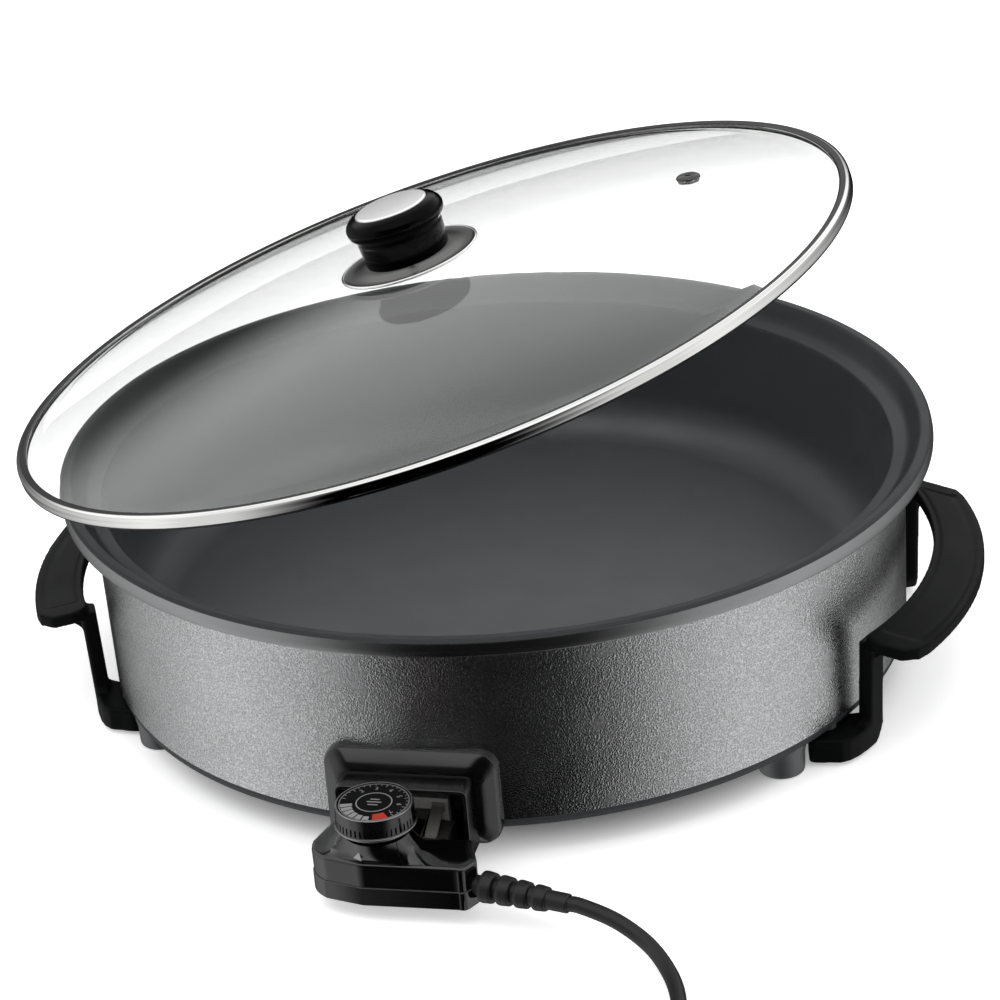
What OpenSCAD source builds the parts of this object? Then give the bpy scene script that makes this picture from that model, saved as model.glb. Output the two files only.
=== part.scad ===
// Round electric pizza pan with a lift-off glass lid and a plug-in heat controller.
// Lengths in millimetres. Z = 0 is the table, Z is up, the controller is at -Y,
// the handles are at +X and -X.

/* [Pan casting] */
// Widest diameter of the rim
pan_rim_dia = 425; // [340:1:480]
// Skirt edge up to the top of the rim
pan_height = 105; // [96:1:150]
// Height of the cast feet under the skirt
foot_height = 14; // [10:0.5:24]
// Diameter of each cast foot
foot_dia = 22; // [14:0.5:30]
// Angle of the feet from the handle axis, degrees
foot_angle = 34.5; // [33:0.5:40]
// How far the rim overhangs the wall
rim_overhang = 13.9; // [12:0.1:20]
// Height of the smooth rim band
rim_band_height = 8.6; // [7:0.1:12]
// Width of the flat top of the lip
lip_width = 4.5; // [3:0.1:6]
// Depth of the stepped shoulder inside the rim
shoulder_depth = 9.6; // [8:0.1:12]
// Width of the stepped shoulder
shoulder_width = 9; // [7:0.1:14]
// Wall thickness of the skirt
skirt_thickness = 6.5; // [4:0.1:9]
// Inward draft of the outside wall from top to skirt edge
wall_draft = 1.4; // [0:0.1:6]
// Rim top down to the cooking floor
pan_depth = 83; // [70:1:88]
// Thickness of the cooking floor
floor_thickness = 5; // [4:0.1:8]
// Inside corner radius of the cooking floor
floor_corner = 24; // [10:1:40]

/* [Heating element] */
// Mean diameter of the element ring
element_ring_dia = 236; // [180:1:280]
// Diameter of the sheathed element
element_dia = 8; // [6:0.5:10]
// Width of the casting rib that holds the element
element_rib_width = 16; // [14:0.5:24]
// Height of the probe and pins above the table
socket_height = 19.5; // [19.5:0.1:21]
// Distance of each terminal pin from the probe
pin_offset = 12.5; // [11:0.1:14]
// Diameter of a terminal pin
pin_dia = 4.5; // [4:0.1:5]
// Length of pin standing out of the ceramic plate
pin_reach = 16; // [10:0.5:18]

/* [Socket guard] */
// Width of the guard
guard_width = 80; // [76:1:100]
// Height of the guard
guard_height = 47; // [46:0.5:54]
// Height of the guard's lower edge above the table
guard_base = 10; // [9:0.5:10.5]
// Width of the pocket
pocket_width = 56.6; // [50:0.2:60]
// Height of the pocket
pocket_height = 34; // [32:0.5:36]
// Thickness of the collar round the pocket
collar_wall = 2; // [1.6:0.1:3]
// How far the collar stands out of the guard's front
collar_reach = 13; // [10:0.5:14]
// Thickness of the guard behind the pocket
guard_back = 4; // [3:0.1:5]
// Radius of the guard's corners
guard_corner = 9; // [4:0.5:12]

/* [Handles] */
// Finger gap from the pan's wall to the grip's inner edge
finger_gap = 12.9; // [9:0.1:24]
// Width of the grip at its middle
handle_grip_width = 24.5; // [18:0.5:30]
// Height of the grip's inner edge above the table
handle_height = 61; // [56:0.5:70]
// Thickness of the grip
handle_grip_thickness = 7; // [5:0.5:10]
// Half length of the grip along the rim
handle_half_length = 88; // [84:1:96]
// Curve radius of the grip's outer edge
handle_outer_curve = 190; // [160:5:240]
// Curve radius of the grip's inner edge
handle_inner_curve = 171.5; // [150:0.5:200]
// Angle of each handle leg from the handle axis, degrees
leg_angle = 22.3; // [20:0.1:24]
// Width of a leg along the rim
leg_width = 13; // [10:0.5:16]
// Thickness of a leg
leg_thickness = 7.5; // [6:0.5:9]
// Finger room between the pan's wall and a leg at its foot
leg_gap = 3.4; // [0.6:0.2:5]
// Radius of the rounded elbow where a leg turns under the pan
elbow_r = 12; // [6:0.5:15]
// Height of the arm's underside above the table
arm_base = 1.6; // [1:0.2:4]
// Diameter of a handle screw's shank
handle_screw_dia = 4; // [3:0.5:5]

/* [Lid] */
// Outside diameter of the lid's steel band
lid_dia = 423.6; // [330:0.1:480]
// Height of the steel band
lid_band_height = 7; // [6:0.5:9]
// Width of the steel band's flange
lid_band_width = 5.5; // [5:0.5:8]
// Thickness of the lid's glass
glass_thickness = 4; // [3:0.5:5]
// Rise of the glass dome above the band
glass_rise = 24.5; // [15:0.5:40]
// Angle of the lid in the held-open pose, degrees
lid_tilt = 15.2; // [0:0.1:60]
// Shift of the open lid towards the left handle
lid_shift = 28.3; // [0:0.1:60]
// Height of the open lid's band above its closed place
lid_lift = 61.9; // [40:0.1:120]
// Air gap kept between the seated lid and the rim
seat_gap = 0.3; // [0.2:0.1:1]
// Distance of the steam vent from the lid's centre
vent_distance = 138.8; // [80:0.2:180]
// Bearing of the steam vent from the right handle, degrees
vent_bearing = 21.6; // [0:0.1:360]
// Diameter of the knob's crown
knob_dia = 49; // [40:0.5:60]
// Height of the knob above its base disc
knob_height = 25.8; // [20:0.1:40]
// Diameter of the metal base disc under the knob
base_disc_dia = 69; // [60:0.5:90]

/* [Controller] */
// Depth of the controller body from front to back
body_depth = 26.3; // [24:0.1:32]
// Height of the controller body
body_height = 21; // [20:0.5:26]
// Height of the controller's underside above the table
body_base = 8; // [6:0.5:8.5]
// Wall thickness of the controller's shells
shell_wall = 2; // [1.6:0.1:2.6]
// Height of the parting line above the underside
seam_height = 9; // [8:0.5:10]
// Side position of the dial's axis
dial_offset = -5.7; // [-9:0.1:-4]
// Diameter of the dial's grip ring
dial_ring_dia = 38.2; // [32:0.1:38.4]
// Diameter of the dial's top face
dial_top_dia = 34.4; // [28:0.1:36]
// Height of the dial
dial_height = 13.6; // [10:0.1:18]
// Height of the tower under the dial
tower_height = 10.5; // [8:0.1:14]
// Diameter of the tower under the dial
tower_dia = 26; // [22:0.5:28]
// Diameter of the dial shaft
shaft_dia = 6; // [5:0.1:8]
// Diameter of the temperature probe
probe_dia = 6.4; // [5:0.1:7]
// Length of the probe in front of the nose
probe_reach = 46; // [30:1:50]
// Radial clearance of the probe in its hole
probe_clearance = 0.1; // [0.05:0.01:0.3]
// Radial clearance of the dial shaft in its holes
shaft_clearance = 0.08; // [0.05:0.01:0.1]

/* [Cord] */
// Diameter of the mains cord
cord_dia = 7; // [6:0.5:8]
// Mean radius of the tied coil
coil_radius = 38; // [35:1:45]
// Width of the tied coil's bundle
coil_width = 21; // [14:0.5:28]
// Height of the tied coil's bundle
coil_height = 14; // [8:0.5:21]
// Diameter of the plug
plug_dia = 38; // [34:0.5:42]
// Diameter of a plug pin
plug_pin_dia = 4.8; // [4:0.1:5]

/* [Hidden] */
fit_gap = 0.05;
rim_r = pan_rim_dia / 2;
rim_top = foot_height + pan_height;
wall_r = rim_r - rim_overhang;
skirt_r = wall_r - wall_draft;
skirt_in_r = skirt_r - skirt_thickness;
lip_out_r = rim_r - 2;
lip_in_r = lip_out_r - lip_width;
step_slope = 4.7;
step_r = lip_in_r - step_slope;
shoulder_r = step_r - shoulder_width;
bowl_bottom_r = shoulder_r - 3;
pan_floor = rim_top - pan_depth;
floor_under = pan_floor - floor_thickness;
foot_r = skirt_r - foot_dia / 2 - 2;

boss_width = 48;
boss_length = 46;
boss_top = floor_under + 0.5;
boss_front = skirt_r - 3;
probe_hole_end = boss_front - probe_reach - 6;
bush_r = pin_dia / 2 + 1.8;

element_r = element_ring_dia / 2;
element_z = socket_height;
groove = element_dia / 2 + 0.2;
collar_r = element_dia / 2 + 1;
element_bend = 12;
bend_x = pin_offset + element_bend;
element_end_angle = asin(bend_x / (element_r + element_bend));
bend_y = (element_r + element_bend) * cos(element_end_angle);
pin_root = boss_front - boss_length + 6;

guard_out_y = wall_r + 0.6;
guard_front_y = wall_r + 6.4;
pocket_back_y = wall_r - 0.6;
pocket_base = guard_base + collar_wall;
collar_y = guard_front_y + collar_reach;
plate_thickness = 3.5;
plate_y = pocket_back_y + plate_thickness;
plate_width = 34;
plate_base = socket_height - 6.5;
plate_height = 21;

handle_screw_angle = leg_angle + 5;
handle_screw_r = skirt_in_r + 1.5;
handle_post_r = skirt_r - handle_screw_r - 0.1;
arm_top = foot_height - fit_gap;
leg_foot_r = wall_r + leg_gap + leg_thickness / 2;
handle_reach = wall_r + finger_gap + handle_grip_width;
inner_curve_x = wall_r + finger_gap - handle_inner_curve;
leg_top_r = inner_curve_x * cos(leg_angle)
    + sqrt(pow(handle_inner_curve, 2) - pow(inner_curve_x * sin(leg_angle), 2));
leg_base_z = arm_base + 8;
leg_rise = handle_height - 4 - leg_base_z;
leg_lean = atan((leg_top_r - 0.3 - leg_foot_r) / leg_rise);

lid_r = lid_dia / 2;
glass_r = lid_r - 2;
dome_r = lid_r - lid_band_width;
dome_edge = dome_r - 0.4;
glass_sphere = (dome_edge * dome_edge + glass_rise * glass_rise) / (2 * glass_rise);
lid_closed_z = rim_top + seat_gap + lid_band_height;
flange = 1;
hub_z = glass_rise - flange;
under_hub_z = hub_z - glass_thickness - 0.2;
hub_hole = 8;
disc_z = hub_z + 1.4;
knob_z = disc_z + 1.4;

nose_width = 40;
nose_height = 11;
nose_base = socket_height - 7;
nose_front = plate_y + 1;
body_back = collar_y + 7.5;
body_front = body_back + body_depth;
body_top = body_base + body_height;
seam_z = body_base + seam_height;
dial_y = body_back + 13;
tower_top = body_top + tower_height;
dial_base = tower_top + 0.5;
dial_top = dial_base + dial_height;
frame_z = nose_base + nose_height + 0.5;
works_y = body_back + shell_wall + 0.3;
relief_x = 37.5;
relief_y = body_back + 17.5;
relief_z = seam_z - 0.5;
relief_turn = -14;
relief_length = 46;
screw_left = [-28.5, -(body_back + 10)];
screw_right = [25, -(body_back + 10)];

coil_outer_turn = coil_radius + cord_dia;
coil_centre = [97, -383];
plug_start = [36, coil_centre[1] - coil_outer_turn];
plug_z = plug_dia / 2;

// Points of an arc in the plane, from angle a0 to a1 in steps.
function arc(cx, cy, r, a0, a1, steps) =
    [for (i = [0:steps]) let (a = a0 + (a1 - a0) * i / steps) [cx + r * cos(a), cy + r * sin(a)]];

// A point at radius r and bearing a.
function polar(r, a) = [r * cos(a), r * sin(a)];

// Rounded rectangle from circles and bars, centred on the origin.
module round_rect(w, h, r) {
    square([w - 2 * r, h], center = true);
    square([w, h - 2 * r], center = true);
    for (x = [-1, 1], y = [-1, 1])
        translate([x * (w / 2 - r), y * (h / 2 - r)]) circle(r = r, $fn = 48);
}

// Puts a piece drawn along +Z, starting at z = 0, along -Y from distance y at height z.
module facing_front(x, y, z) {
    translate([x, -y, z]) rotate([90, 0, 0]) children();
}

// ---------- pan ----------

function pan_profile() = concat(
    [[0, pan_floor], [bowl_bottom_r - floor_corner, pan_floor]],
    arc(bowl_bottom_r - floor_corner, pan_floor + floor_corner, floor_corner, -80, 0, 6),
    [[shoulder_r, rim_top - shoulder_depth - 0.4], [shoulder_r + 1, rim_top - shoulder_depth],
     [step_r - 2, rim_top - shoulder_depth + 0.4], [step_r, rim_top - shoulder_depth + 1.6],
     [lip_in_r - 0.6, rim_top - 1], [lip_in_r + 0.4, rim_top], [lip_out_r, rim_top],
     [lip_out_r + 1.2, rim_top - 1.2], [rim_r, rim_top - rim_band_height + 3],
     [rim_r - 0.2, rim_top - rim_band_height + 1], [rim_r - 2.2, rim_top - rim_band_height],
     [wall_r + 2, rim_top - rim_band_height - 1.6], [wall_r, rim_top - rim_band_height - 4],
     [skirt_r, foot_height + 4], [skirt_r - 1.2, foot_height + 1.2],
     [skirt_r - 4, foot_height], [skirt_in_r, foot_height],
     [skirt_in_r - 0.6, floor_under], [0, floor_under]]);

module pan_body() {
    color([0.42, 0.43, 0.44]) difference() {
        union() {
            rotate_extrude($fn = 128) polygon(pan_profile());
            for (s = [-1, 1], t = [-1, 1]) rotate([0, 0, s * foot_angle + (t < 0 ? 180 : 0)])
                translate([foot_r, 0, 0]) cylinder(d = foot_dia, h = floor_under + 1, $fn = 64);
            translate([0, 0, element_z - 2])
                difference() {
                    cylinder(r = element_r + element_rib_width / 2,
                        h = boss_top - element_z + 2, $fn = 96);
                    translate([0, 0, -1])
                        cylinder(r = element_r - element_rib_width / 2,
                            h = boss_top - element_z + 4, $fn = 96);
                }
            translate([-boss_width / 2, -boss_front, foot_height + 0.2])
                cube([boss_width, boss_length, boss_top - foot_height - 0.2]);
            for (s = [-1, 1], t = [-1, 1])
                rotate([0, 0, s * handle_screw_angle + (t < 0 ? 180 : 0)])
                    translate([handle_screw_r, 0, foot_height + 0.2])
                        cylinder(r = handle_post_r, h = floor_under - foot_height, $fn = 48);
        }
        facing_front(0, probe_hole_end, socket_height)
            cylinder(d = probe_dia + 2 * probe_clearance, h = 80, $fn = 48);
        for (s = [-1, 1]) facing_front(s * pin_offset, bend_y - 1, socket_height)
            cylinder(r = bush_r + 0.15, h = 120, $fn = 48);
        translate([0, 0, foot_height]) difference() {
            cylinder(r = element_r + groove, h = element_z + groove - foot_height, $fn = 96);
            translate([0, 0, -1]) cylinder(r = element_r - groove, h = 20, $fn = 96);
        }
        translate([-bend_x - 6, -bend_y - 1, foot_height])
            cube([2 * bend_x + 12, bend_y - element_r + element_rib_width / 2 + 4,
                element_z + collar_r + 0.3 - foot_height]);
        for (s = [-1, 1], t = [-1, 1])
            rotate([0, 0, s * handle_screw_angle + (t < 0 ? 180 : 0)])
                translate([handle_screw_r, 0, foot_height - 1])
                    cylinder(d = handle_screw_dia + 2 * fit_gap, h = 13, $fn = 32);
        for (s = [-1, 1])
            facing_front(s * 21.5, guard_out_y - 16, pocket_base + 27)
                cylinder(d = 3 + 2 * fit_gap, h = 20, $fn = 32);
    }
}

// Horseshoe ring whose two ends turn forward to the terminals.
module heating_element_solid() {
    translate([0, 0, element_z]) rotate([0, 0, -90 + element_end_angle])
        rotate_extrude(angle = 360 - 2 * element_end_angle, $fn = 96)
            translate([element_r, 0]) circle(r = element_dia / 2, $fn = 32);
    for (s = [0, 1]) mirror([s, 0, 0]) {
        translate([-bend_x, -bend_y, element_z])
            rotate_extrude(angle = 90 - element_end_angle, $fn = 96)
                translate([element_bend, 0]) circle(r = element_dia / 2, $fn = 32);
        facing_front(-pin_offset, bend_y, element_z)
            cylinder(d = element_dia, h = pin_root - bend_y, $fn = 32);
        rotate([0, 0, -90 - element_end_angle]) translate([element_r, 0, element_z])
            rotate([90, 0, 0]) cylinder(r = collar_r, h = 5, center = true, $fn = 48);
    }
}

module heating_element() {
    color([0.5, 0.5, 0.52]) difference() {
        heating_element_solid();
        for (s = [-1, 1]) facing_front(s * pin_offset, pin_root - 8, socket_height)
            cylinder(d = pin_dia + 2 * fit_gap, h = 30, $fn = 32);
    }
}

module terminal_pins() {
    color([0.78, 0.78, 0.76]) for (s = [-1, 1]) {
        facing_front(s * pin_offset, pin_root - 8, socket_height)
            cylinder(d = pin_dia, h = plate_y + pin_reach - 1.5 - pin_root + 8, $fn = 32);
        facing_front(s * pin_offset, plate_y + pin_reach - 1.5, socket_height)
            cylinder(d1 = pin_dia, d2 = pin_dia - 2, h = 1.5, $fn = 32);
    }
}

module pin_bushes() {
    color([0.9, 0.88, 0.82]) for (s = [-1, 1])
        facing_front(s * pin_offset, pin_root + 4.5, socket_height) difference() {
            cylinder(r = bush_r, h = pocket_back_y - pin_root - 4.5 - fit_gap, $fn = 48);
            translate([0, 0, -1]) cylinder(d = pin_dia + 2 * fit_gap, h = 60, $fn = 32);
        }
}

module ceramic_plate() {
    color([0.78, 0.77, 0.73]) difference() {
        translate([-plate_width / 2, -plate_y, plate_base])
            cube([plate_width, plate_thickness - fit_gap, plate_height]);
        for (s = [-1, 1]) facing_front(s * pin_offset, pocket_back_y - 2, socket_height)
            cylinder(d = pin_dia + 2 * fit_gap, h = 20, $fn = 32);
        facing_front(0, pocket_back_y - 2, socket_height)
            cylinder(d = probe_dia + 1, h = 20, $fn = 48);
    }
}

module earth_contact() {
    top = nose_base + nose_height;
    color([0.75, 0.72, 0.66]) translate([pin_offset - 2.75, 0, 0]) rotate([90, 0, 90])
        linear_extrude(height = 5.5)
            polygon([[-plate_y - fit_gap, top + 3.5], [-plate_y - fit_gap, top + 8.5],
                [-plate_y - 0.8, top + 8.5], [-plate_y - 1.2, top + 7.2],
                [-plate_y - 17.2, top + 1.4], [-plate_y - 20.2, top + 2.4],
                [-plate_y - 20.6, top + 1.8], [-plate_y - 17.2, top + 0.4],
                [-plate_y - 1.4, top + 6]]);
}

module connector_guard() {
    color([0.1, 0.1, 0.11]) difference() {
        union() {
            facing_front(0, wall_r - 12, guard_base + guard_height / 2)
                linear_extrude(height = guard_out_y - wall_r + 12)
                    round_rect(guard_width, guard_height, guard_corner);
            hull() {
                facing_front(0, guard_out_y - 0.1, guard_base + guard_height / 2)
                    linear_extrude(height = 0.1)
                        round_rect(guard_width, guard_height, guard_corner);
                facing_front(0, guard_front_y - 0.1, guard_base + guard_height / 2 - 1)
                    linear_extrude(height = 0.1)
                        round_rect(guard_width - 14, guard_height - 16, guard_corner - 4);
            }
            facing_front(0, wall_r - 4, guard_base + pocket_height / 2 + collar_wall)
                linear_extrude(height = collar_y - wall_r + 4)
                    round_rect(pocket_width + 2 * collar_wall,
                        pocket_height + 2 * collar_wall, 3);
        }
        facing_front(0, pocket_back_y, guard_base + pocket_height / 2 + collar_wall)
            linear_extrude(height = 40) round_rect(pocket_width, pocket_height, 1.5);
        translate([0, 0, foot_height])
            cylinder(r1 = skirt_r + fit_gap, r2 = wall_r + fit_gap,
                h = pan_height - rim_band_height - 4, $fn = 128);
        cylinder(r = skirt_r + fit_gap, h = foot_height + 0.01, $fn = 128);
        for (s = [-1, 1]) facing_front(s * 21.5, wall_r - 12, pocket_base + 27)
            cylinder(d = 3.4, h = 30, $fn = 32);
        for (s = [-1, 1]) facing_front(s * pin_offset, wall_r - 12, socket_height)
            cylinder(r = bush_r + 0.2, h = 30, $fn = 48);
        facing_front(0, wall_r - 12, socket_height)
            cylinder(d = probe_dia + 1, h = 30, $fn = 48);
    }
}

module guard_screws() {
    color([0.6, 0.6, 0.6]) for (s = [-1, 1]) facing_front(s * 21.5, 0, pocket_base + 27) {
        translate([0, 0, guard_out_y - 15]) cylinder(d = 3, h = 15, $fn = 32);
        translate([0, 0, pocket_back_y + fit_gap]) difference() {
            cylinder(d = 6, h = 2, $fn = 48);
            translate([-3, -0.4, 1.2]) cube([6, 0.8, 2]);
        }
    }
}

// ---------- handles ----------

function outer_edge_x(y) =
    handle_reach - handle_outer_curve + sqrt(pow(handle_outer_curve, 2) - y * y);
function inner_edge_x(y) = inner_curve_x + sqrt(pow(handle_inner_curve, 2) - y * y);

module grip_plan() {
    n = 12;
    outer_h = handle_half_length - 9;
    inner_h = handle_half_length - 5;
    polygon(concat(
        [for (i = [-n:n]) let (y = outer_h * i / n) [outer_edge_x(y), y]],
        [[outer_edge_x(outer_h) - 4, outer_h + 6], [outer_edge_x(outer_h) - 11, handle_half_length],
         [inner_edge_x(inner_h) + 6, handle_half_length],
         [inner_edge_x(inner_h) + 1, handle_half_length - 2]],
        [for (i = [n:-1:-n]) let (y = inner_h * i / n) [inner_edge_x(y), y]],
        [[inner_edge_x(inner_h) + 1, -handle_half_length + 2],
         [inner_edge_x(inner_h) + 6, -handle_half_length],
         [outer_edge_x(outer_h) - 11, -handle_half_length],
         [outer_edge_x(outer_h) - 4, -outer_h - 6]]));
}

// Section of the grip across its width: falls to the outside, with a raised inner roll.
module grip_section() {
    w = handle_grip_width;
    t = handle_grip_thickness;
    polygon([[-24, 1], [-2, 1], [0, 0.4], [w - 7, -5], [w - 3, -5.4], [w + 6, -5.4],
        [w + 6, -5.4 - t], [w - 8, -4 - t], [4, -t], [-24, -t]]);
}

module handle_leg() {
    h = leg_rise / cos(leg_lean);
    x = leg_thickness / 2;
    y = leg_width / 2;
    rotate([0, 0, leg_angle]) translate([leg_foot_r, 0, leg_base_z]) rotate([0, leg_lean, 0]) {
        translate([-x, -y + 2, 0]) cube([leg_thickness, leg_width - 4, h]);
        translate([-x + 2, -y, 0]) cube([leg_thickness - 4, leg_width, h]);
        for (s = [-1, 1], t = [-1, 1]) translate([s * (x - 2), t * (y - 2), 0])
            cylinder(r = 2, h = h, $fn = 32);
        translate([-x + 0.3, -y + 0.3, -6]) cube([leg_thickness - 0.6, leg_width - 0.6, 7]);
    }
}

// Plan of the arm that turns under the skirt beside the cast foot.
module arm_plan() {
    r0 = handle_screw_r;
    r1 = leg_foot_r + leg_thickness / 2;
    a = leg_angle;
    polygon([polar(r1 - 0.6, a - 1.9), polar(r1, a), polar(r1, a + 2.2), polar(r1 - 0.3, a + 4.2),
        polar(r1 - 1.4, a + 5.8), polar(r1 - 3.6, a + 7), polar(skirt_r + 3.4, a + 8),
        polar(skirt_r - 1, a + 9), polar(r0 + 1, a + 9.4), polar(r0 - 5, a + 7.4), polar(r0 - 5, a + 2.6),
        polar(r0 - 1, a + 0.6), polar(leg_foot_r - leg_thickness / 2, a - 1.9)]);
}

// Web under the grip on the leg's outer face.
module leg_web() {
    rise = 6.5;
    rotate([0, 0, leg_angle]) translate([leg_top_r - 0.4, leg_width / 2 - 2.6, handle_height - 4])
        rotate([90, 0, 0]) linear_extrude(height = leg_width - 5.2)
            polygon([[-2, -rise - 6], [leg_thickness / 2 - 0.8, -rise - 3],
                [leg_thickness / 2 + rise - 1, -3.4], [leg_thickness / 2 + rise - 1, -2.4],
                [-2, -2.4]]);
}

// Waste that rounds the leg's elbow, on the side away from the foot.
module elbow_waste() {
    rotate([0, 0, leg_angle])
        translate([leg_foot_r - leg_thickness, elbow_r - leg_width / 2 - 0.6,
            arm_base + elbow_r - 0.4])
            rotate([0, 90, 0]) difference() {
                translate([0, -elbow_r - 5, 0])
                    cube([elbow_r + 5, elbow_r + 5, 2 * leg_thickness]);
                translate([0, 0, -1]) cylinder(r = elbow_r, h = 2 * leg_thickness + 2, $fn = 64);
            }
}

module handle_half() {
    difference() {
        union() {
            handle_leg();
            leg_web();
            translate([0, 0, arm_base]) linear_extrude(height = arm_top - arm_base) arm_plan();
        }
        rotate([0, 0, handle_screw_angle]) translate([handle_screw_r, 0, 0]) {
            cylinder(d = handle_screw_dia + 0.3, h = 30, $fn = 32);
            cylinder(d = 8.2, h = arm_base + 4, $fn = 48);
        }
        rotate([0, 0, foot_angle]) translate([foot_r, 0, 0])
            cylinder(d = foot_dia + 0.6, h = 30, $fn = 64);
        translate([0, 0, arm_top]) cylinder(r = skirt_r + 0.15, h = 8, $fn = 128);
        elbow_waste();
    }
}

module handle() {
    translate([inner_curve_x, 0, handle_height]) intersection() {
        rotate_extrude($fn = 128) translate([handle_inner_curve, 0]) grip_section();
        translate([-inner_curve_x, 0, -30]) linear_extrude(height = 50) grip_plan();
    }
    handle_half();
    mirror([0, 1, 0]) handle_half();
}

module handle_right() { color([0.12, 0.12, 0.12]) handle(); }
module handle_left() { color([0.12, 0.12, 0.12]) mirror([1, 0, 0]) handle(); }

module handle_screws() {
    color([0.65, 0.65, 0.65]) for (s = [-1, 1], t = [-1, 1])
        rotate([0, 0, s * handle_screw_angle + (t < 0 ? 180 : 0)])
            translate([handle_screw_r, 0, arm_base + 4 - 2.6]) {
                difference() {
                    cylinder(d = 7.6, h = 2.6 - fit_gap, $fn = 48);
                    translate([-4, -0.5, -1]) cube([8, 1, 2.2]);
                }
                cylinder(d = handle_screw_dia, h = 16, $fn = 32);
            }
}

// ---------- lid ----------

// Carries the lid's pieces, drawn round the band's top plane, to the held-open pose.
module lid_pose() {
    translate([-lid_shift, 0, lid_closed_z + lid_lift]) rotate([0, -lid_tilt, 0]) children();
}

// Height of the glass at radius r, a given depth below its outer surface.
function dome_z(r, depth) =
    sqrt(pow(glass_sphere - depth, 2) - r * r) - glass_sphere + glass_rise - flange;

module lid_glass() {
    n = 16;
    color([0.75, 0.85, 0.88, 0.35]) lid_pose() difference() {
        rotate_extrude($fn = 128) polygon(concat(
            [for (i = [0:n]) let (r = dome_edge * i / n) [r, dome_z(r, 0)]],
            [[glass_r, -flange], [glass_r, -flange - glass_thickness]],
            [for (i = [n:-1:0]) let (r = dome_edge * i / n) [r, dome_z(r, glass_thickness)]]));
        cylinder(d = hub_hole, h = 60, $fn = 48);
        vent_place() translate([0, 0, -20]) cylinder(d = 7.2, h = 40, $fn = 32);
    }
}

module lid_rim_band() {
    h = lid_band_height;
    g = 0.25;
    color([0.8, 0.8, 0.8]) lid_pose() rotate_extrude($fn = 128) polygon([
        [dome_r, -0.2], [dome_r + 0.6, 0], [lid_r - 1.2, 0], [lid_r - 0.3, -0.5], [lid_r, -1.4],
        [lid_r, -h + 1.2], [lid_r - 0.4, -h + 0.3], [lid_r - 1.2, -h],
        [dome_r + 0.6, -h], [dome_r, -h + 0.3], [dome_r, -flange - glass_thickness - g],
        [glass_r + g, -flange - glass_thickness - g], [glass_r + g, -flange + g],
        [dome_r, -flange + g]]);
}

module vent_place() {
    rotate([0, 0, vent_bearing]) translate([vent_distance, 0, dome_z(vent_distance, 0)])
        rotate([0, asin(vent_distance / glass_sphere), 0]) children();
}

module steam_vent() {
    color([0.7, 0.7, 0.7]) lid_pose() vent_place() rotate_extrude($fn = 48)
        polygon([[2, 1.2], [3, 1.9], [4.6, 1.7], [5.8, 0.9], [6, fit_gap], [3.5, fit_gap],
            [3.5, -glass_thickness - fit_gap], [5.4, -glass_thickness - fit_gap],
            [5.2, -glass_thickness - 0.8], [2, -glass_thickness - 0.8]]);
}

module knob_base_disc() {
    r = base_disc_dia / 2;
    color([0.75, 0.75, 0.75]) lid_pose() translate([0, 0, disc_z]) rotate_extrude($fn = 96)
        polygon([[2.6, 0], [r - 9, 0], [r - 6, -0.5], [r - 1, -0.7], [r, -0.4], [r - 0.1, 0.4],
            [r - 1.2, 0.7], [r - 6, 0.4], [r - 10, 1.2], [2.6, 1.2]]);
}

module knob_seals() {
    color([0.25, 0.25, 0.25]) lid_pose() {
        translate([0, 0, hub_z + 0.15]) difference() {
            cylinder(d = 40, h = disc_z - hub_z - 0.2, $fn = 64);
            translate([0, 0, -1]) cylinder(d = 5.2, h = 9, $fn = 32);
        }
        translate([0, 0, under_hub_z - 1.5]) difference() {
            cylinder(d = 26, h = 1.5, $fn = 64);
            translate([0, 0, -1]) cylinder(d = 5.2, h = 9, $fn = 32);
        }
    }
}

module lid_knob() {
    r = knob_dia / 2;
    h = knob_height;
    color([0.05, 0.05, 0.05]) lid_pose() translate([0, 0, knob_z - 0.15]) difference() {
        rotate_extrude($fn = 96) polygon([[0, 0], [19.3, 0], [20.2, 1], [20.6, 4.5],
            [19.6, 9], [18.9, 13], [19.6, 14.4], [r - 1.2, 16.6], [r - 0.1, 18.6], [r, 20.6],
            [r - 0.5, 22.6], [r - 2.2, 24.4], [r - 5, 25.4], [18.2, h - 0.1], [18, h - 0.8],
            [0, h - 0.8]]);
        translate([0, 0, -1]) cylinder(d = 5 + 2 * fit_gap, h = 15, $fn = 32);
    }
}

module knob_cap() {
    color([0.9, 0.9, 0.9]) lid_pose() translate([0, 0, knob_z - 0.15 + knob_height - 0.75])
        rotate_extrude($fn = 96)
            polygon([[0, 0], [17.9, 0], [17.9, 0.9], [17.2, 1.3], [0, 1.5]]);
}

module knob_screw() {
    low = under_hub_z - 1.5;
    color([0.7, 0.7, 0.7]) lid_pose() {
        translate([0, 0, low - fit_gap - 1]) difference() {
            cylinder(d = 16, h = 1, $fn = 48);
            translate([0, 0, -1]) cylinder(d = 5 + 2 * fit_gap, h = 5, $fn = 32);
        }
        translate([0, 0, low - 2 * fit_gap - 1 - 3]) difference() {
            cylinder(d = 9, h = 3, $fn = 48);
            translate([-0.6, -5, -1]) cube([1.2, 10, 2.2]);
            translate([-5, -0.6, -1]) cube([10, 1.2, 2.2]);
        }
        translate([0, 0, low - 2]) cylinder(d = 5, h = knob_z + 12 - low + 2, $fn = 32);
    }
}

// ---------- controller ----------

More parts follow.
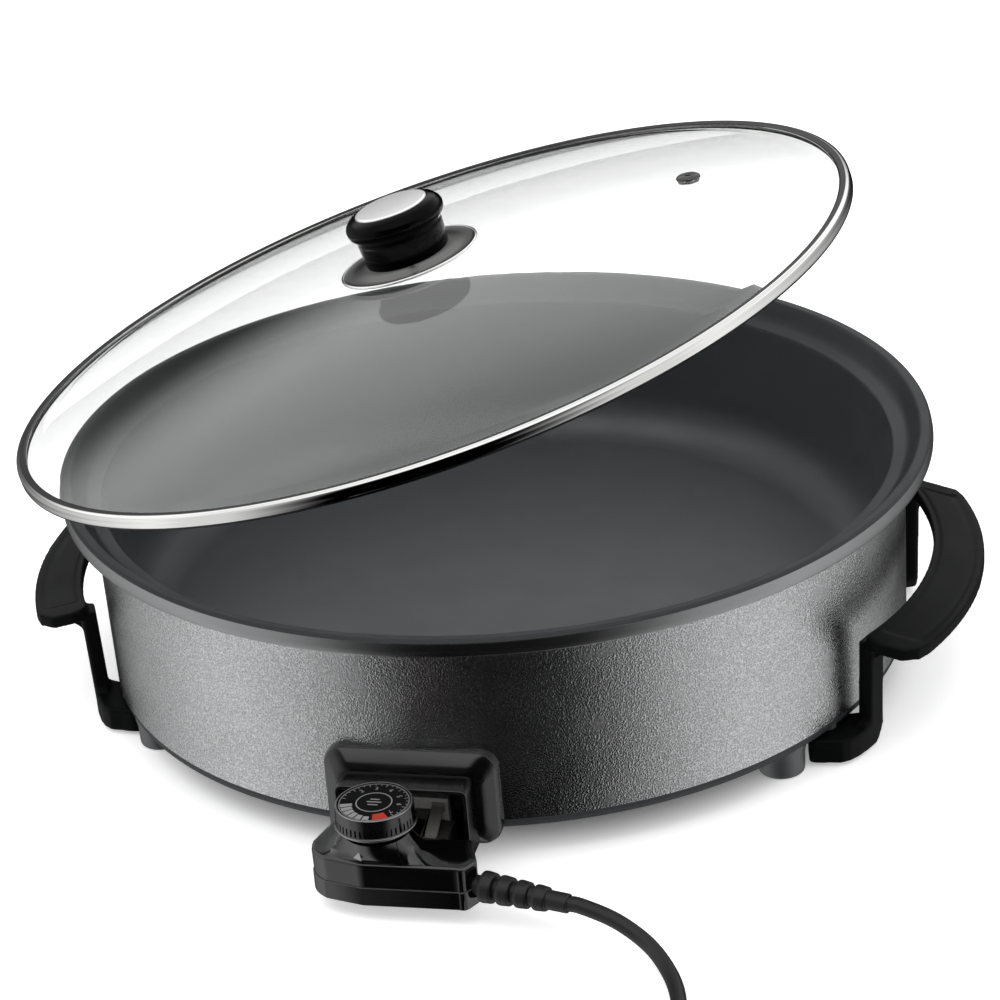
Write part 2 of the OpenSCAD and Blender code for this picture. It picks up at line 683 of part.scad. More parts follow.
// Outline of the controller's body in plan, drawn in by i all round.
module body_plan(i) {
    f = body_front - i;
    b = body_back + i;
    polygon(concat(
        [for (a = [180:15:270])
            [-11.5 + (26 - i) * cos(a), -(body_back + 10) + (body_depth - 10 - i) * sin(a)]],
        [[33.5 - 0.5 * i, -f], [35.5 - 0.8 * i, -f + 1], [40 - 1.2 * i, -relief_y],
         [36.6 - i, -b - 8], [34.5 - i, -b], [-31.5 + i, -b], [-33.5 + i, -b - 1]]));
}

module shell_cavity() {
    translate([0, 0, body_base + shell_wall])
        linear_extrude(height = body_height - 2 * shell_wall) body_plan(shell_wall);
}

module relief_place() {
    translate([relief_x, -relief_y, relief_z]) rotate([0, 0, relief_turn]) rotate([0, 90, 0])
        children();
}

module shell_cuts() {
    translate([-nose_width / 2 - fit_gap, -nose_front - 26, nose_base - fit_gap])
        cube([nose_width + 2 * fit_gap, 40, nose_height + 2 * fit_gap]);
    relief_place() translate([0, 0, -7]) cylinder(r = 4.6 + fit_gap, h = 30, $fn = 48);
    for (p = [screw_left, screw_right]) translate([p[0], p[1], body_base - 1]) {
        cylinder(d = 3.2, h = seam_height + 9, $fn = 32);
        cylinder(d = 6.4, h = 3.5, $fn = 32);
    }
}

module screw_posts(z0, z1) {
    for (p = [screw_left, screw_right]) translate([p[0], p[1], z0])
        cylinder(d = 7.6, h = z1 - z0, $fn = 48);
}

module controller_lower_shell() {
    color([0.04, 0.04, 0.045]) difference() {
        union() {
            difference() {
                translate([0, 0, body_base]) linear_extrude(height = seam_height - fit_gap)
                    body_plan(0);
                shell_cavity();
            }
            screw_posts(body_base + 0.5, seam_z - fit_gap);
        }
        shell_cuts();
    }
}

module controller_upper_shell() {
    color([0.05, 0.05, 0.055]) difference() {
        union() {
            difference() {
                union() {
                    translate([0, 0, seam_z])
                        linear_extrude(height = body_height - seam_height - 1.2) body_plan(0);
                    translate([0, 0, body_top - 1.2]) linear_extrude(height = 1.2)
                        body_plan(1);
                }
                shell_cavity();
            }
            screw_posts(seam_z, body_top - 0.5);
            translate([dial_offset, -dial_y, body_top - 1])
                cylinder(d1 = tower_dia, d2 = tower_dia - 1.5, h = tower_height + 1, $fn = 64);
        }
        shell_cuts();
        translate([dial_offset, -dial_y, body_top - 5])
            cylinder(d = shaft_dia + 2 * shaft_clearance, h = 40, $fn = 48);
    }
}

module contact_block() {
    color([0.13, 0.12, 0.12]) difference() {
        translate([-nose_width / 2, -(nose_front + 24), nose_base])
            cube([nose_width, 24, nose_height]);
        for (s = [-1, 1]) facing_front(s * pin_offset, nose_front - 1, socket_height)
            cylinder(d = pin_dia + 2.4, h = 20, $fn = 48);
        facing_front(0, nose_front - 1, socket_height)
            cylinder(d = probe_dia + 2 * fit_gap, h = 17, $fn = 48);
    }
}

module contact_sockets() {
    color([0.8, 0.65, 0.35]) for (s = [-1, 1])
        facing_front(s * pin_offset, nose_front + 1, socket_height) difference() {
            cylinder(d = pin_dia + 2.4 - 2 * fit_gap, h = 18 - fit_gap, $fn = 48);
            translate([0, 0, -1]) cylinder(d = pin_dia + 0.2, h = 17.5, $fn = 32);
        }
}

module probe_tube() {
    color([0.82, 0.82, 0.8]) {
        facing_front(0, nose_front - probe_reach, socket_height)
            cylinder(d = probe_dia, h = probe_reach + 15.9, $fn = 48);
        translate([0, -(nose_front - probe_reach), socket_height])
            sphere(d = probe_dia, $fn = 48);
    }
}

// Stamped bracket round the dial shaft, with legs down to the lower shell.
module thermostat_frame() {
    y0 = works_y;
    w = body_front - shell_wall - 3 - y0;
    leg_h = frame_z + 1.2 - body_base - shell_wall - fit_gap;
    color([0.7, 0.7, 0.68]) difference() {
        union() {
            translate([-20, -(y0 + w), frame_z]) cube([30, w - 1, 1.2]);
            for (x = [-20, 8.8]) translate([x, -(y0 + w), frame_z + 1.2 - leg_h])
                cube([1.2, w, leg_h]);
        }
        translate([dial_offset, -dial_y, frame_z - 1])
            cylinder(d = shaft_dia + 2 * shaft_clearance, h = 5, $fn = 48);
    }
}

module bimetal_strip() {
    y0 = works_y;
    color([0.72, 0.6, 0.42]) translate([-18.8 + fit_gap, -(y0 + 6), frame_z - 5.5])
        cube([27.6 - 2 * fit_gap, 5.5, 0.8]);
}

module contact_blades() {
    y0 = works_y;
    color([0.82, 0.6, 0.3]) for (z = [3, 6]) {
        translate([-18.8 + fit_gap, -(y0 + 5.5), body_base + shell_wall + z])
            cube([22, 4.5, 0.5]);
        translate([0, -(y0 + 3.2), body_base + shell_wall + z + 0.5])
            cylinder(d = 3, h = 0.8, $fn = 32);
    }
}

module controller_screws() {
    color([0.6, 0.6, 0.6]) for (p = [screw_left, screw_right])
        translate([p[0], p[1], body_base]) {
            translate([0, 0, 0.5]) difference() {
                cylinder(d = 5.8, h = 2 - fit_gap, $fn = 32);
                translate([-0.4, -4, -1]) cube([0.8, 8, 1.8]);
                translate([-4, -0.4, -1]) cube([8, 0.8, 1.8]);
            }
            translate([0, 0, 1]) cylinder(d = 3.1, h = seam_height + 6.5, $fn = 32);
        }
}

module dial_shaft() {
    color([0.75, 0.75, 0.73]) translate([dial_offset, -dial_y, frame_z - 4]) {
        cylinder(d = shaft_dia, h = dial_base + 9 - frame_z + 4, $fn = 48);
        translate([0, 0, 0]) cylinder(d = 11, h = 3.6, $fn = 48);
    }
}

module dial_knob() {
    ro = dial_ring_dia / 2;
    rt = dial_top_dia / 2;
    h = dial_height;
    color([0.08, 0.08, 0.085]) translate([dial_offset, -dial_y, dial_base]) difference() {
        rotate_extrude($fn = 96) polygon([[0, h - 4], [0, h - 1], [rt - 1, h - 1],
            [rt - 0.9, h], [rt - 0.1, h - 0.1], [rt + 0.3, h - 0.8], [ro - 1.1, 4],
            [ro, 3.2], [ro, 1.6], [ro - 0.6, 1], [ro - 1.4, 0], [ro - 3.4, 0], [ro - 3, h - 4],
            [6, h - 4], [6, 0.6], [0, 0.6]]);
        for (i = [0:35]) rotate([0, 0, i * 10]) translate([ro - 0.6, -0.6, 3.4])
            cube([2, 1.2, 4.6]);
        translate([0, 0, -1]) cylinder(d = shaft_dia + 2 * fit_gap, h = 10.2, $fn = 48);
    }
}

module dial_face() {
    color([0.7, 0.7, 0.7]) translate([dial_offset, -dial_y, dial_base + dial_height - 1 + fit_gap])
        cylinder(r = dial_top_dia / 2 - 1.1, h = 0.5, $fn = 96);
}

module strain_relief() {
    ribs = [for (i = [0:3]) 6 + i * 8.5];
    color([0.04, 0.04, 0.04]) relief_place() difference() {
        union() {
            translate([0, 0, -8]) cylinder(r = 5.8, h = 2.8, $fn = 48);
            translate([0, 0, -8]) cylinder(r = 4.6, h = 12, $fn = 48);
            cylinder(r1 = 4.5, r2 = 4.3, h = relief_length, $fn = 48);
            for (i = [0:3]) translate([0, 0, ribs[i]])
                cylinder(r1 = 7.2 - 0.45 * i, r2 = 6.8 - 0.45 * i, h = 6.2, $fn = 48);
        }
        translate([0, 0, -9]) cylinder(r = cord_dia / 2 + 0.15, h = 70, $fn = 48);
    }
}

// ---------- cord ----------

// Points along a Catmull-Rom curve through pts, s steps in each span.
function span_point(p0, p1, p2, p3, t) = 0.5 * (2 * p1 + (p2 - p0) * t
    + (2 * p0 - 5 * p1 + 4 * p2 - p3) * t * t + (3 * p1 - p0 - 3 * p2 + p3) * t * t * t);
function smooth_path(pts, s) = let (n = len(pts)) concat(
    [for (i = [0:n - 2], k = [0:s - 1]) span_point(pts[max(i - 1, 0)], pts[i], pts[i + 1],
        pts[min(i + 2, n - 1)], k / s)], [pts[n - 1]]);

// Round tube along a path, kept level so that its sides never twist.
module tube(path, r) {
    n = len(path);
    sides = 12;
    function heading(i) = let (d = path[min(i + 1, n - 1)] - path[max(i - 1, 0)]) d / norm(d);
    rings = [for (i = [0:n - 1]) let (t = heading(i), u = cross(t, [0, 0, 1]) / norm(cross(t, [0, 0, 1])),
        v = cross(u, t)) for (k = [0:sides - 1])
            path[i] + r * (cos(360 * k / sides) * u + sin(360 * k / sides) * v)];
    polyhedron(points = rings, faces = concat(
        [[for (k = [sides - 1:-1:0]) k]],
        [for (i = [0:n - 2], k = [0:sides - 1]) [i * sides + k, i * sides + (k + 1) % sides,
            (i + 1) * sides + (k + 1) % sides, (i + 1) * sides + k]],
        [[for (k = [0:sides - 1]) (n - 1) * sides + k]]));
}

// Points of the free stretch, after the strain relief, and of the stretch to the plug.
lead_points = [[104, -261, 13.6], [119, -269, 8], [130, -283, 4.6], [137, -300, 3.6],
    [140.5, -320, 3.6], [142, -342, 3.6], [142, -364, 3.6], [142, -383, 4]];
tail_points = [[104, -428, 10.6], [86, -428, 11.4], [68, -428, 14.4], [54, -428, 17.4],
    [44, -428, 18.9]];

module cord() {
    start = [relief_x, -relief_y, relief_z];
    along = [cos(relief_turn), sin(relief_turn), 0];
    lead = concat([for (d = [-4, 20, 40, 52]) start + d * along], lead_points);
    tail = concat(tail_points, [[plug_start[0] - 6, plug_start[1], plug_z]]);
    color([0.03, 0.03, 0.03]) {
        tube(smooth_path(lead, 6), cord_dia / 2);
        tube(smooth_path(tail, 6), cord_dia / 2);
    }
}

module cord_coil() {
    w = coil_width / 2;
    h = coil_height;
    color([0.03, 0.03, 0.03]) translate([coil_centre[0], coil_centre[1], 0.1])
        rotate_extrude($fn = 96) translate([coil_radius, 0])
            polygon([[-w + 2, 0], [w - 2, 0], [w, 2], [w, h - 2], [w - 2, h], [-w + 2, h],
                [-w, h - 2], [-w, 2]]);
}

module coil_tie() {
    w = coil_width / 2;
    color([0.06, 0.06, 0.06])
        translate([coil_centre[0] - coil_radius, coil_centre[1] - 4, 0.1])
            rotate([-90, 0, 0]) mirror([0, 1, 0]) linear_extrude(height = 8) difference() {
                translate([-w - 1.5, -0.05]) square([2 * w + 3.4, coil_height + 1.5]);
                translate([-w - 0.1, -1]) square([2 * w + 0.6, coil_height + 1.1]);
            }
}

module plug_place() {
    translate([plug_start[0], plug_start[1], plug_z]) rotate([0, -90, 0]) children();
}

module plug_body() {
    r = plug_dia / 2;
    color([0.04, 0.04, 0.04]) plug_place() difference() {
        rotate_extrude($fn = 64) polygon([[0, 0], [5.4, 0], [5.8, 14], [9, 18], [13, 21],
            [r - 3, 30], [r - 0.3, 33], [r, 36], [r, 48], [r - 0.8, 49], [0, 49]]);
        translate([0, 0, -1]) cylinder(d = cord_dia + 2 * fit_gap, h = 9, $fn = 48);
        for (s = [-1, 1]) translate([0, s * 9.5, 40])
            cylinder(d = plug_pin_dia + 2 * fit_gap, h = 20, $fn = 32);
        for (s = [-1, 1]) translate([s * (r - 2), -3.2, 28]) translate([-2, 0, 0])
            cube([6, 6.4, 30]);
    }
}

module plug_pins() {
    color([0.8, 0.8, 0.78]) plug_place() for (s = [-1, 1]) translate([0, s * 9.5, 40.1]) {
        cylinder(d = plug_pin_dia, h = 26, $fn = 32);
        translate([0, 0, 26]) cylinder(d1 = plug_pin_dia, d2 = plug_pin_dia - 2, h = 1.8, $fn = 32);
    }
}

module plug_earth_clips() {
    r = plug_dia / 2;
    color([0.8, 0.7, 0.5]) plug_place() for (s = [-1, 1])
        translate([s * (r - 3.3), -2.8, 32]) translate([s < 0 ? -0.65 : 0, 0, 0])
            translate([s < 0 ? 0 : -0.65, 0, 0]) cube([0.65, 5.6, 16]);
}

pan_body();
heating_element();
terminal_pins();
pin_bushes();
ceramic_plate();
earth_contact();
connector_guard();
guard_screws();
handle_right();
handle_left();
handle_screws();
lid_glass();
lid_rim_band();
steam_vent();
knob_base_disc();
knob_seals();
lid_knob();
knob_cap();
knob_screw();
controller_upper_shell();
controller_lower_shell();
contact_block();
contact_sockets();
probe_tube();
thermostat_frame();
bimetal_strip();
contact_blades();
controller_screws();
dial_shaft();
dial_knob();
dial_face();
strain_relief();
cord();
cord_coil();
coil_tie();
plug_body();
plug_pins();
plug_earth_clips();
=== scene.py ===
"""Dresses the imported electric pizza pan.

Casting, handles, glass lid, heat controller and mains lead, in a pale studio. Pieces are drawn in
millimetres and finished in metres.
"""
import logging
import math
from collections.abc import Callable, Sequence
from dataclasses import dataclass, field
from enum import Enum

import bmesh
import bpy
from mathutils import Matrix, Vector


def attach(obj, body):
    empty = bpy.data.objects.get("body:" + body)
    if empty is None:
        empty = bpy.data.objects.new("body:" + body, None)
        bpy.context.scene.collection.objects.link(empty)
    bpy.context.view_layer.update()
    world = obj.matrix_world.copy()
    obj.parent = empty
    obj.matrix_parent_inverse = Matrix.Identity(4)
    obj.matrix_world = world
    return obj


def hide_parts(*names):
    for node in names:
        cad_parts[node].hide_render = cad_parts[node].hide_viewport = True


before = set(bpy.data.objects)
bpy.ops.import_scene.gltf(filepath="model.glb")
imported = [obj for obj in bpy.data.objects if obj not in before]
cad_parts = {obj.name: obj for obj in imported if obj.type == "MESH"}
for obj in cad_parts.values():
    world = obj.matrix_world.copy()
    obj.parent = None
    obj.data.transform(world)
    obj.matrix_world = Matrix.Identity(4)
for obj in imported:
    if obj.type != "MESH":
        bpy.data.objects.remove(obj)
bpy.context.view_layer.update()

MM = 0.001
LOG = logging.getLogger("pizza_pan")

# Points (x, y) or (radius, height), each with a rounding length after it where a corner is eased.
Outline = Sequence[tuple[float, ...]]
Tree = bpy.types.NodeTree
Socket = bpy.types.NodeSocket

# Points closer than this are one point, in a turned blank and in a copy of a CAD node.
TURNED_MERGE = 1e-4
COPIED_MERGE = 1e-3

# The terminal pins stand this far to each side of the probe, all at one height over the table.
PIN_X = 12.5
SOCKET_Z = 19.5

# Every finish has a broad cloud of this size. It moves the roughness while the noise is between
# the two levels, and the colour by its share, next to the fine grain's.
CLOUD_SIZE = 30.0
CLOUD_DETAIL = 2.0
CLOUD_LEVELS = (0.3, 0.7)
CLOUD_SHARE = 0.2
GRAIN_SHARE = 0.8


# ---------- shader nodes ----------


def add_node(tree: Tree, kind: str, inputs: dict[str | int, object] | None = None,
             **settings: object) -> bpy.types.Node:
    """Adds a shader node to a tree.

    Args:
        tree: The node tree.
        kind: The node's type, without the ShaderNode that it starts with.
        inputs: For each input, by name or number, its value or the socket that feeds it.
        settings: The node's own settings, which are made before its inputs.

    Returns:
        The node.
    """
    node = tree.nodes.new(f"ShaderNode{kind}")
    for name, setting in settings.items():
        setattr(node, name, setting)
    for name, value in (inputs or {}).items():
        if isinstance(value, Socket):
            tree.links.new(value, node.inputs[name])
        else:
            node.inputs[name].default_value = value
    return node


# ---------- finishes ----------


class Grain(Enum):
    """Fine surface patterns that a finish can carry."""

    MOULDED = "moulded"
    HAMMERED = "hammered"
    CAST = "cast"
    TURNED = "turned"
    DRAWN = "drawn"


# Octaves of noise in each grain.
DETAIL = {Grain.MOULDED: 1.0, Grain.HAMMERED: 2.0, Grain.CAST: 4.0, Grain.TURNED: 3.0,
          Grain.DRAWN: 3.0}


@dataclass(frozen=True)
class Finish:
    """One surface finish, made as a node material with its own wear, mottle and fine grain.

    The drift is how far the roughness wanders and the mottle how far the colour does. The grain's
    size and the height of its relief are in millimetres.
    """

    name: str
    colour: tuple[float, float, float]
    metallic: float = 0.0
    roughness: float = 0.5
    drift: float = 0.08
    mottle: float = 0.1
    grain: Grain = Grain.MOULDED
    grain_size: float = 1.2
    relief: float = 0.03
    clear: float = 0.0
    ior: float = 1.5
    specular: float = 0.5

    def material(self, centre: Matrix | None = None) -> bpy.types.Material:
        """Makes this finish's material, or returns the one made before.

        Args:
            centre: Place of the axis that a turned or drawn pattern follows, in millimetres.

        Returns:
            The node material.
        """
        label = f"{self.name}_finish"
        known = bpy.data.materials.get(label)
        if known is not None:
            return known
        made = bpy.data.materials.new(label)
        made.use_nodes = True
        tree = made.node_tree
        shader = tree.nodes["Principled BSDF"]
        for socket, value in (("Metallic", self.metallic), ("Transmission Weight", self.clear),
                              ("IOR", self.ior), ("Specular IOR Level", self.specular)):
            shader.inputs[socket].default_value = value
        place = self._pattern_place(tree, centre)
        cloud = self._noise(tree, place, CLOUD_SIZE, CLOUD_DETAIL)
        fine = self._fine_height(tree, place)
        tree.links.new(self._tint(tree, cloud, fine), shader.inputs["Base Color"])
        tree.links.new(self._wear(tree, cloud), shader.inputs["Roughness"])
        if self.relief > 0:
            bump = add_node(tree, "Bump", {"Strength": 1.0, "Distance": self.relief * MM,
                                           "Height": fine})
            tree.links.new(bump.outputs["Normal"], shader.inputs["Normal"])
        return made

    def _pattern_place(self, tree: Tree, centre: Matrix | None) -> Socket:
        """Finds the coordinates that the patterns read.

        Args:
            tree: The material's node tree.
            centre: Place of the piece's own axis, or None for the object's.

        Returns:
            The coordinates, turned about that axis.
        """
        source = add_node(tree, "TexCoord").outputs["Object"]
        if centre is None:
            return source
        place = centre.inverted()
        turn = add_node(tree, "Mapping", {
            "Vector": source, "Location": place.to_translation() * MM,
            "Rotation": place.to_euler()}, vector_type="POINT")
        return turn.outputs["Vector"]

    def _noise(self, tree: Tree, place: Socket, size: float, detail: float) -> Socket:
        """Adds a noise texture.

        Args:
            tree: The material's node tree.
            place: The coordinates that it reads.
            size: Size of its lumps, in millimetres.
            detail: Its octaves.

        Returns:
            The noise.
        """
        noise = add_node(tree, "TexNoise", {"Vector": place, "Scale": 1 / (size * MM),
                                            "Detail": detail})
        return noise.outputs["Fac"]

    def _fine_height(self, tree: Tree, place: Socket) -> Socket:
        """Adds the pattern of the finish's grain.

        Args:
            tree: The material's node tree.
            place: The coordinates that it reads.

        Returns:
            The pattern's height.
        """
        if self.grain is Grain.HAMMERED:
            return self._hammered(tree, place)
        if self.grain in (Grain.TURNED, Grain.DRAWN):
            place = self._lines(tree, place)
        return self._noise(tree, place, self.grain_size, DETAIL[self.grain])

    def _hammered(self, tree: Tree, place: Socket) -> Socket:
        """Adds soft cells that wander with a broader noise.

        Args:
            tree: The material's node tree.
            place: The coordinates that they read.

        Returns:
            Their height.
        """
        softness, wander, spread = 0.6, 0.6, 1 / 0.7
        cells = add_node(tree, "TexVoronoi", {
            "Vector": place, "Scale": 1 / (self.grain_size * MM), "Smoothness": softness},
            feature="SMOOTH_F1")
        drift = self._noise(tree, place, self.grain_size * spread, DETAIL[self.grain])
        join = add_node(tree, "Math", {0: drift, 1: wander, 2: cells.outputs["Distance"]},
                        operation="MULTIPLY_ADD")
        return join.outputs["Value"]

    def _lines(self, tree: Tree, place: Socket) -> Socket:
        """Draws coordinates out into rings about the axis, or into lines across a drawn part.

        Args:
            tree: The material's node tree.
            place: The coordinates.

        Returns:
            The drawn-out coordinates.
        """
        parts = add_node(tree, "SeparateXYZ", {"Vector": place})
        if self.grain is Grain.DRAWN:
            return add_node(tree, "CombineXYZ", {"X": parts.outputs["X"]}).outputs["Vector"]
        flat = add_node(tree, "VectorMath", {0: place, 1: (1, 1, 0)}, operation="MULTIPLY")
        far = add_node(tree, "VectorMath", {0: flat.outputs["Vector"]}, operation="LENGTH")
        rings = add_node(tree, "CombineXYZ", {"X": far.outputs["Value"],
                                              "Z": parts.outputs["Z"]})
        return rings.outputs["Vector"]

    def _tint(self, tree: Tree, cloud: Socket, fine: Socket) -> Socket:
        """Lets the colour drift gently over the piece and along its fine grain.

        Args:
            tree: The material's node tree.
            cloud: The broad noise.
            fine: The grain's height.

        Returns:
            The colour.
        """
        grain = add_node(tree, "Math", {0: fine, 1: GRAIN_SHARE}, operation="MULTIPLY")
        both = add_node(tree, "Math", {0: cloud, 1: CLOUD_SHARE, 2: grain.outputs["Value"]},
                        operation="MULTIPLY_ADD")
        dark, pale = 1 - self.mottle, 1 + self.mottle
        blend = add_node(tree, "Mix", {
            "Factor": both.outputs["Value"],
            "A": (*(c * dark for c in self.colour), 1.0),
            "B": (*(min(1.0, c * pale) for c in self.colour), 1.0)}, data_type="RGBA")
        return blend.outputs["Result"]

    def _wear(self, tree: Tree, cloud: Socket) -> Socket:
        """Lets the roughness wander with the broad noise.

        Args:
            tree: The material's node tree.
            cloud: The broad noise.

        Returns:
            The roughness.
        """
        rough = add_node(tree, "MapRange", {
            "Value": cloud, "From Min": CLOUD_LEVELS[0], "From Max": CLOUD_LEVELS[1],
            "To Min": max(0.0, self.roughness - self.drift),
            "To Max": min(1.0, self.roughness + self.drift)})
        return rough.outputs["Result"]


HAMMERED_GREY = Finish(
    "hammered_grey", (0.385, 0.389, 0.393), metallic=1.0, roughness=0.26, drift=0.03, mottle=0.9,
    grain=Grain.HAMMERED, grain_size=0.74, relief=0.15)
SMOOTH_GREY = Finish(
    "smooth_grey", (0.33, 0.334, 0.338), metallic=1.0, roughness=0.28, drift=0.03, mottle=0.08,
    grain_size=0.9, relief=0.012)
NON_STICK = Finish(
    "non_stick", (0.07, 0.073, 0.077), metallic=0.1, roughness=0.42, drift=0.05, mottle=0.08,
    grain_size=0.8, relief=0.012, specular=0.35)
# Dark finish for the rim's upward faces, the bowl's top band and the skirt's foot: painted shade.
PAINTED_SHADE_GREY = Finish(
    "lip_painted_shade", (0.035, 0.037, 0.039), roughness=0.4, drift=0.05, grain_size=0.8, relief=0.01,
    specular=0.14)
CAST_GREY = Finish(
    "cast_grey", (0.15, 0.154, 0.158), metallic=0.75, drift=0.06, mottle=0.12, grain=Grain.CAST,
    grain_size=1.6, relief=0.06)
SHEATH = Finish(
    "element_sheath", (0.3, 0.29, 0.28), metallic=0.85, drift=0.1, mottle=0.25, grain=Grain.CAST,
    grain_size=3.0, relief=0.02)
PLATED = Finish(
    "plated_pin", (0.72, 0.72, 0.7), metallic=1.0, roughness=0.22, drift=0.06, mottle=0.06,
    grain=Grain.DRAWN, grain_size=0.4, relief=0.004)
CERAMIC = Finish(
    "ceramic", (0.8, 0.79, 0.76), roughness=0.62, drift=0.05, mottle=0.06, grain=Grain.CAST,
    grain_size=0.7, relief=0.02)
DARK_CERAMIC = Finish(
    "dark_ceramic", (0.035, 0.033, 0.032), roughness=0.48, drift=0.06, grain=Grain.CAST,
    grain_size=0.7, relief=0.02)
SPRING = Finish(
    "spring_metal", (0.5, 0.49, 0.47), metallic=0.7, roughness=0.34, grain=Grain.DRAWN,
    grain_size=0.5, relief=0.006)
BRASS = Finish(
    "brass_socket", (0.66, 0.47, 0.2), metallic=1.0, roughness=0.3, grain=Grain.DRAWN,
    grain_size=0.5, relief=0.006)
GUARD_BLACK = Finish(
    "guard_black", (0.003, 0.0031, 0.0034), roughness=0.15, drift=0.03, grain_size=1.1,
    relief=0.004, specular=0.8)
HANDLE_BLACK = Finish(
    "handle_black", (0.0035, 0.0038, 0.0038), roughness=0.4, drift=0.04, mottle=0.12,
    grain_size=0.6, relief=0.012, ior=1.15)
SCREW_ZINC = Finish(
    "screw_zinc", (0.55, 0.55, 0.54), metallic=1.0, roughness=0.34, mottle=0.08, grain=Grain.CAST,
    grain_size=0.6, relief=0.01)
CLEAR_GLASS = Finish(
    "clear_glass", (0.985, 0.995, 0.99), roughness=0.005, drift=0.004, mottle=0.004,
    grain_size=60.0, relief=0.0, clear=1.0, ior=1.45)
POLISHED_STEEL = Finish(
    "polished_steel", (0.9, 0.9, 0.89), metallic=1.0, roughness=0.1, drift=0.04, mottle=0.05,
    grain=Grain.TURNED, grain_size=0.5, relief=0.002)
# Dark steel for the lid band's underside and inner lip: painted shade.
BAND_PAINTED_SHADE = Finish(
    "band_painted_shade", (0.03, 0.03, 0.03), metallic=1.0, roughness=0.24, drift=0.04, grain=Grain.TURNED,
    grain_size=0.5, relief=0.002)
# Steel darkened for the base disc's dish and the vent: painted shade.
STEEL_PAINTED_SHADE = Finish(
    "steel_painted_shade", (0.1, 0.1, 0.098), metallic=1.0, roughness=0.24, drift=0.05, mottle=0.2,
    grain=Grain.TURNED, grain_size=0.35, relief=0.008)
KNOB_BLACK = Finish(
    "knob_black", (0.0008, 0.0008, 0.0008), roughness=0.12, drift=0.02, grain_size=4.0,
    relief=0.003, ior=1.16)
SPUN_STEEL = Finish(
    "spun_steel", (0.3, 0.3, 0.3), metallic=1.0, roughness=0.26, drift=0.05, mottle=0.2,
    grain=Grain.TURNED, grain_size=0.35, relief=0.008)
MIRROR = Finish(
    "mirror_cap", (0.97, 0.97, 0.97), metallic=0.55, roughness=0.16, drift=0.03, mottle=0.03,
    grain=Grain.TURNED, grain_size=0.5, relief=0.001)
SILICONE = Finish(
    "silicone", (0.05, 0.05, 0.05), roughness=0.6, drift=0.05, grain=Grain.CAST, grain_size=0.8,
    relief=0.01)
GLOSS_BLACK = Finish(
    "gloss_black", (0.0022, 0.0022, 0.0024), roughness=0.07, drift=0.02, grain_size=4.0,
    relief=0.003, specular=1.0)
DIAL_BLACK = Finish(
    "dial_black", (0.003, 0.003, 0.0032), roughness=0.12, drift=0.03, grain_size=1.5, relief=0.004,
    specular=0.9)
# Lighter grey for the upward faces of the controller's parting step: a painted highlight.
PAINTED_HIGHLIGHT_GREY = Finish(
    "parting_painted_highlight", (0.07, 0.07, 0.07), roughness=0.3, drift=0.04, grain_size=1.0, relief=0.003)
DIAL_PLATE = Finish(
    "dial_plate", (0.006, 0.006, 0.0065), roughness=0.4, drift=0.05, mottle=0.15, grain=Grain.CAST,
    grain_size=0.6, relief=0.003, specular=0.03)
SILVER_PRINT = Finish(
    "silver_print", (0.3, 0.3, 0.3), metallic=0.1, roughness=0.45, drift=0.05, mottle=0.08,
    grain=Grain.CAST, grain_size=0.5, relief=0.004, specular=0.2)
RED_PRINT = Finish(
    "red_print", (0.42, 0.03, 0.012), roughness=0.4, drift=0.05, mottle=0.08, grain=Grain.CAST,
    grain_size=0.5, relief=0.004)
CORD_RUBBER = Finish(
    "cord_rubber", (0.007, 0.007, 0.007), roughness=0.42, drift=0.05, mottle=0.12,
    grain=Grain.CAST, grain_size=0.9, relief=0.015)
TIE_PLASTIC = Finish(
    "tie_plastic", (0.02, 0.02, 0.02), roughness=0.38, drift=0.05, grain_size=1.0, relief=0.01)


def dress_nodes(finish: Finish, *names: str) -> None:
    """Gives carried-over CAD nodes a finish.

    Args:
        finish: The finish that they get.
        names: The nodes, as the frame names them.
    """
    for name in names:
        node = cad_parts[name]
        if not node.material_slots:
            node.data.materials.append(finish.material())
        for place in node.material_slots:
            place.material = finish.material()
        LOG.info("dressed %s in %s", name, finish.name)


# ---------- shaping ----------


def link(thing: bpy.types.Object) -> bpy.types.Object:
    """Puts an object in the scene and returns it."""
    bpy.context.scene.collection.objects.link(thing)
    return thing


def turned_by(degrees: float, axis: str = "Z") -> Matrix:
    """Gives a turn about an axis."""
    return Matrix.Rotation(math.radians(degrees), 4, axis)


def facing_front(x: float, distance: float, z: float) -> Matrix:
    """Gives the place of a shape drawn along +Z that is to stand along -Y from a distance."""
    return Matrix.Translation((x, -distance, z)) @ turned_by(90, "X")


def four_places(turn: float, radius: float) -> list[Matrix]:
    """Gives four places round the pan, at a turn to both sides of its long axis."""
    return [turned_by(a) @ Matrix.Translation((radius, 0, 0))
            for a in (turn, -turn, 180 - turn, 180 + turn)]


def share_of(value: float, start: float, end: float) -> float:
    """Gives how far a value is on the way from a start to an end, from 0 to 1."""
    return min(1.0, max(0.0, (value - start) / (end - start)))


def smooth_share(value: float, start: float, end: float) -> float:
    """Gives that share with a soft start and a soft end."""
    t = share_of(value, start, end)
    return t * t * (3 - 2 * t)


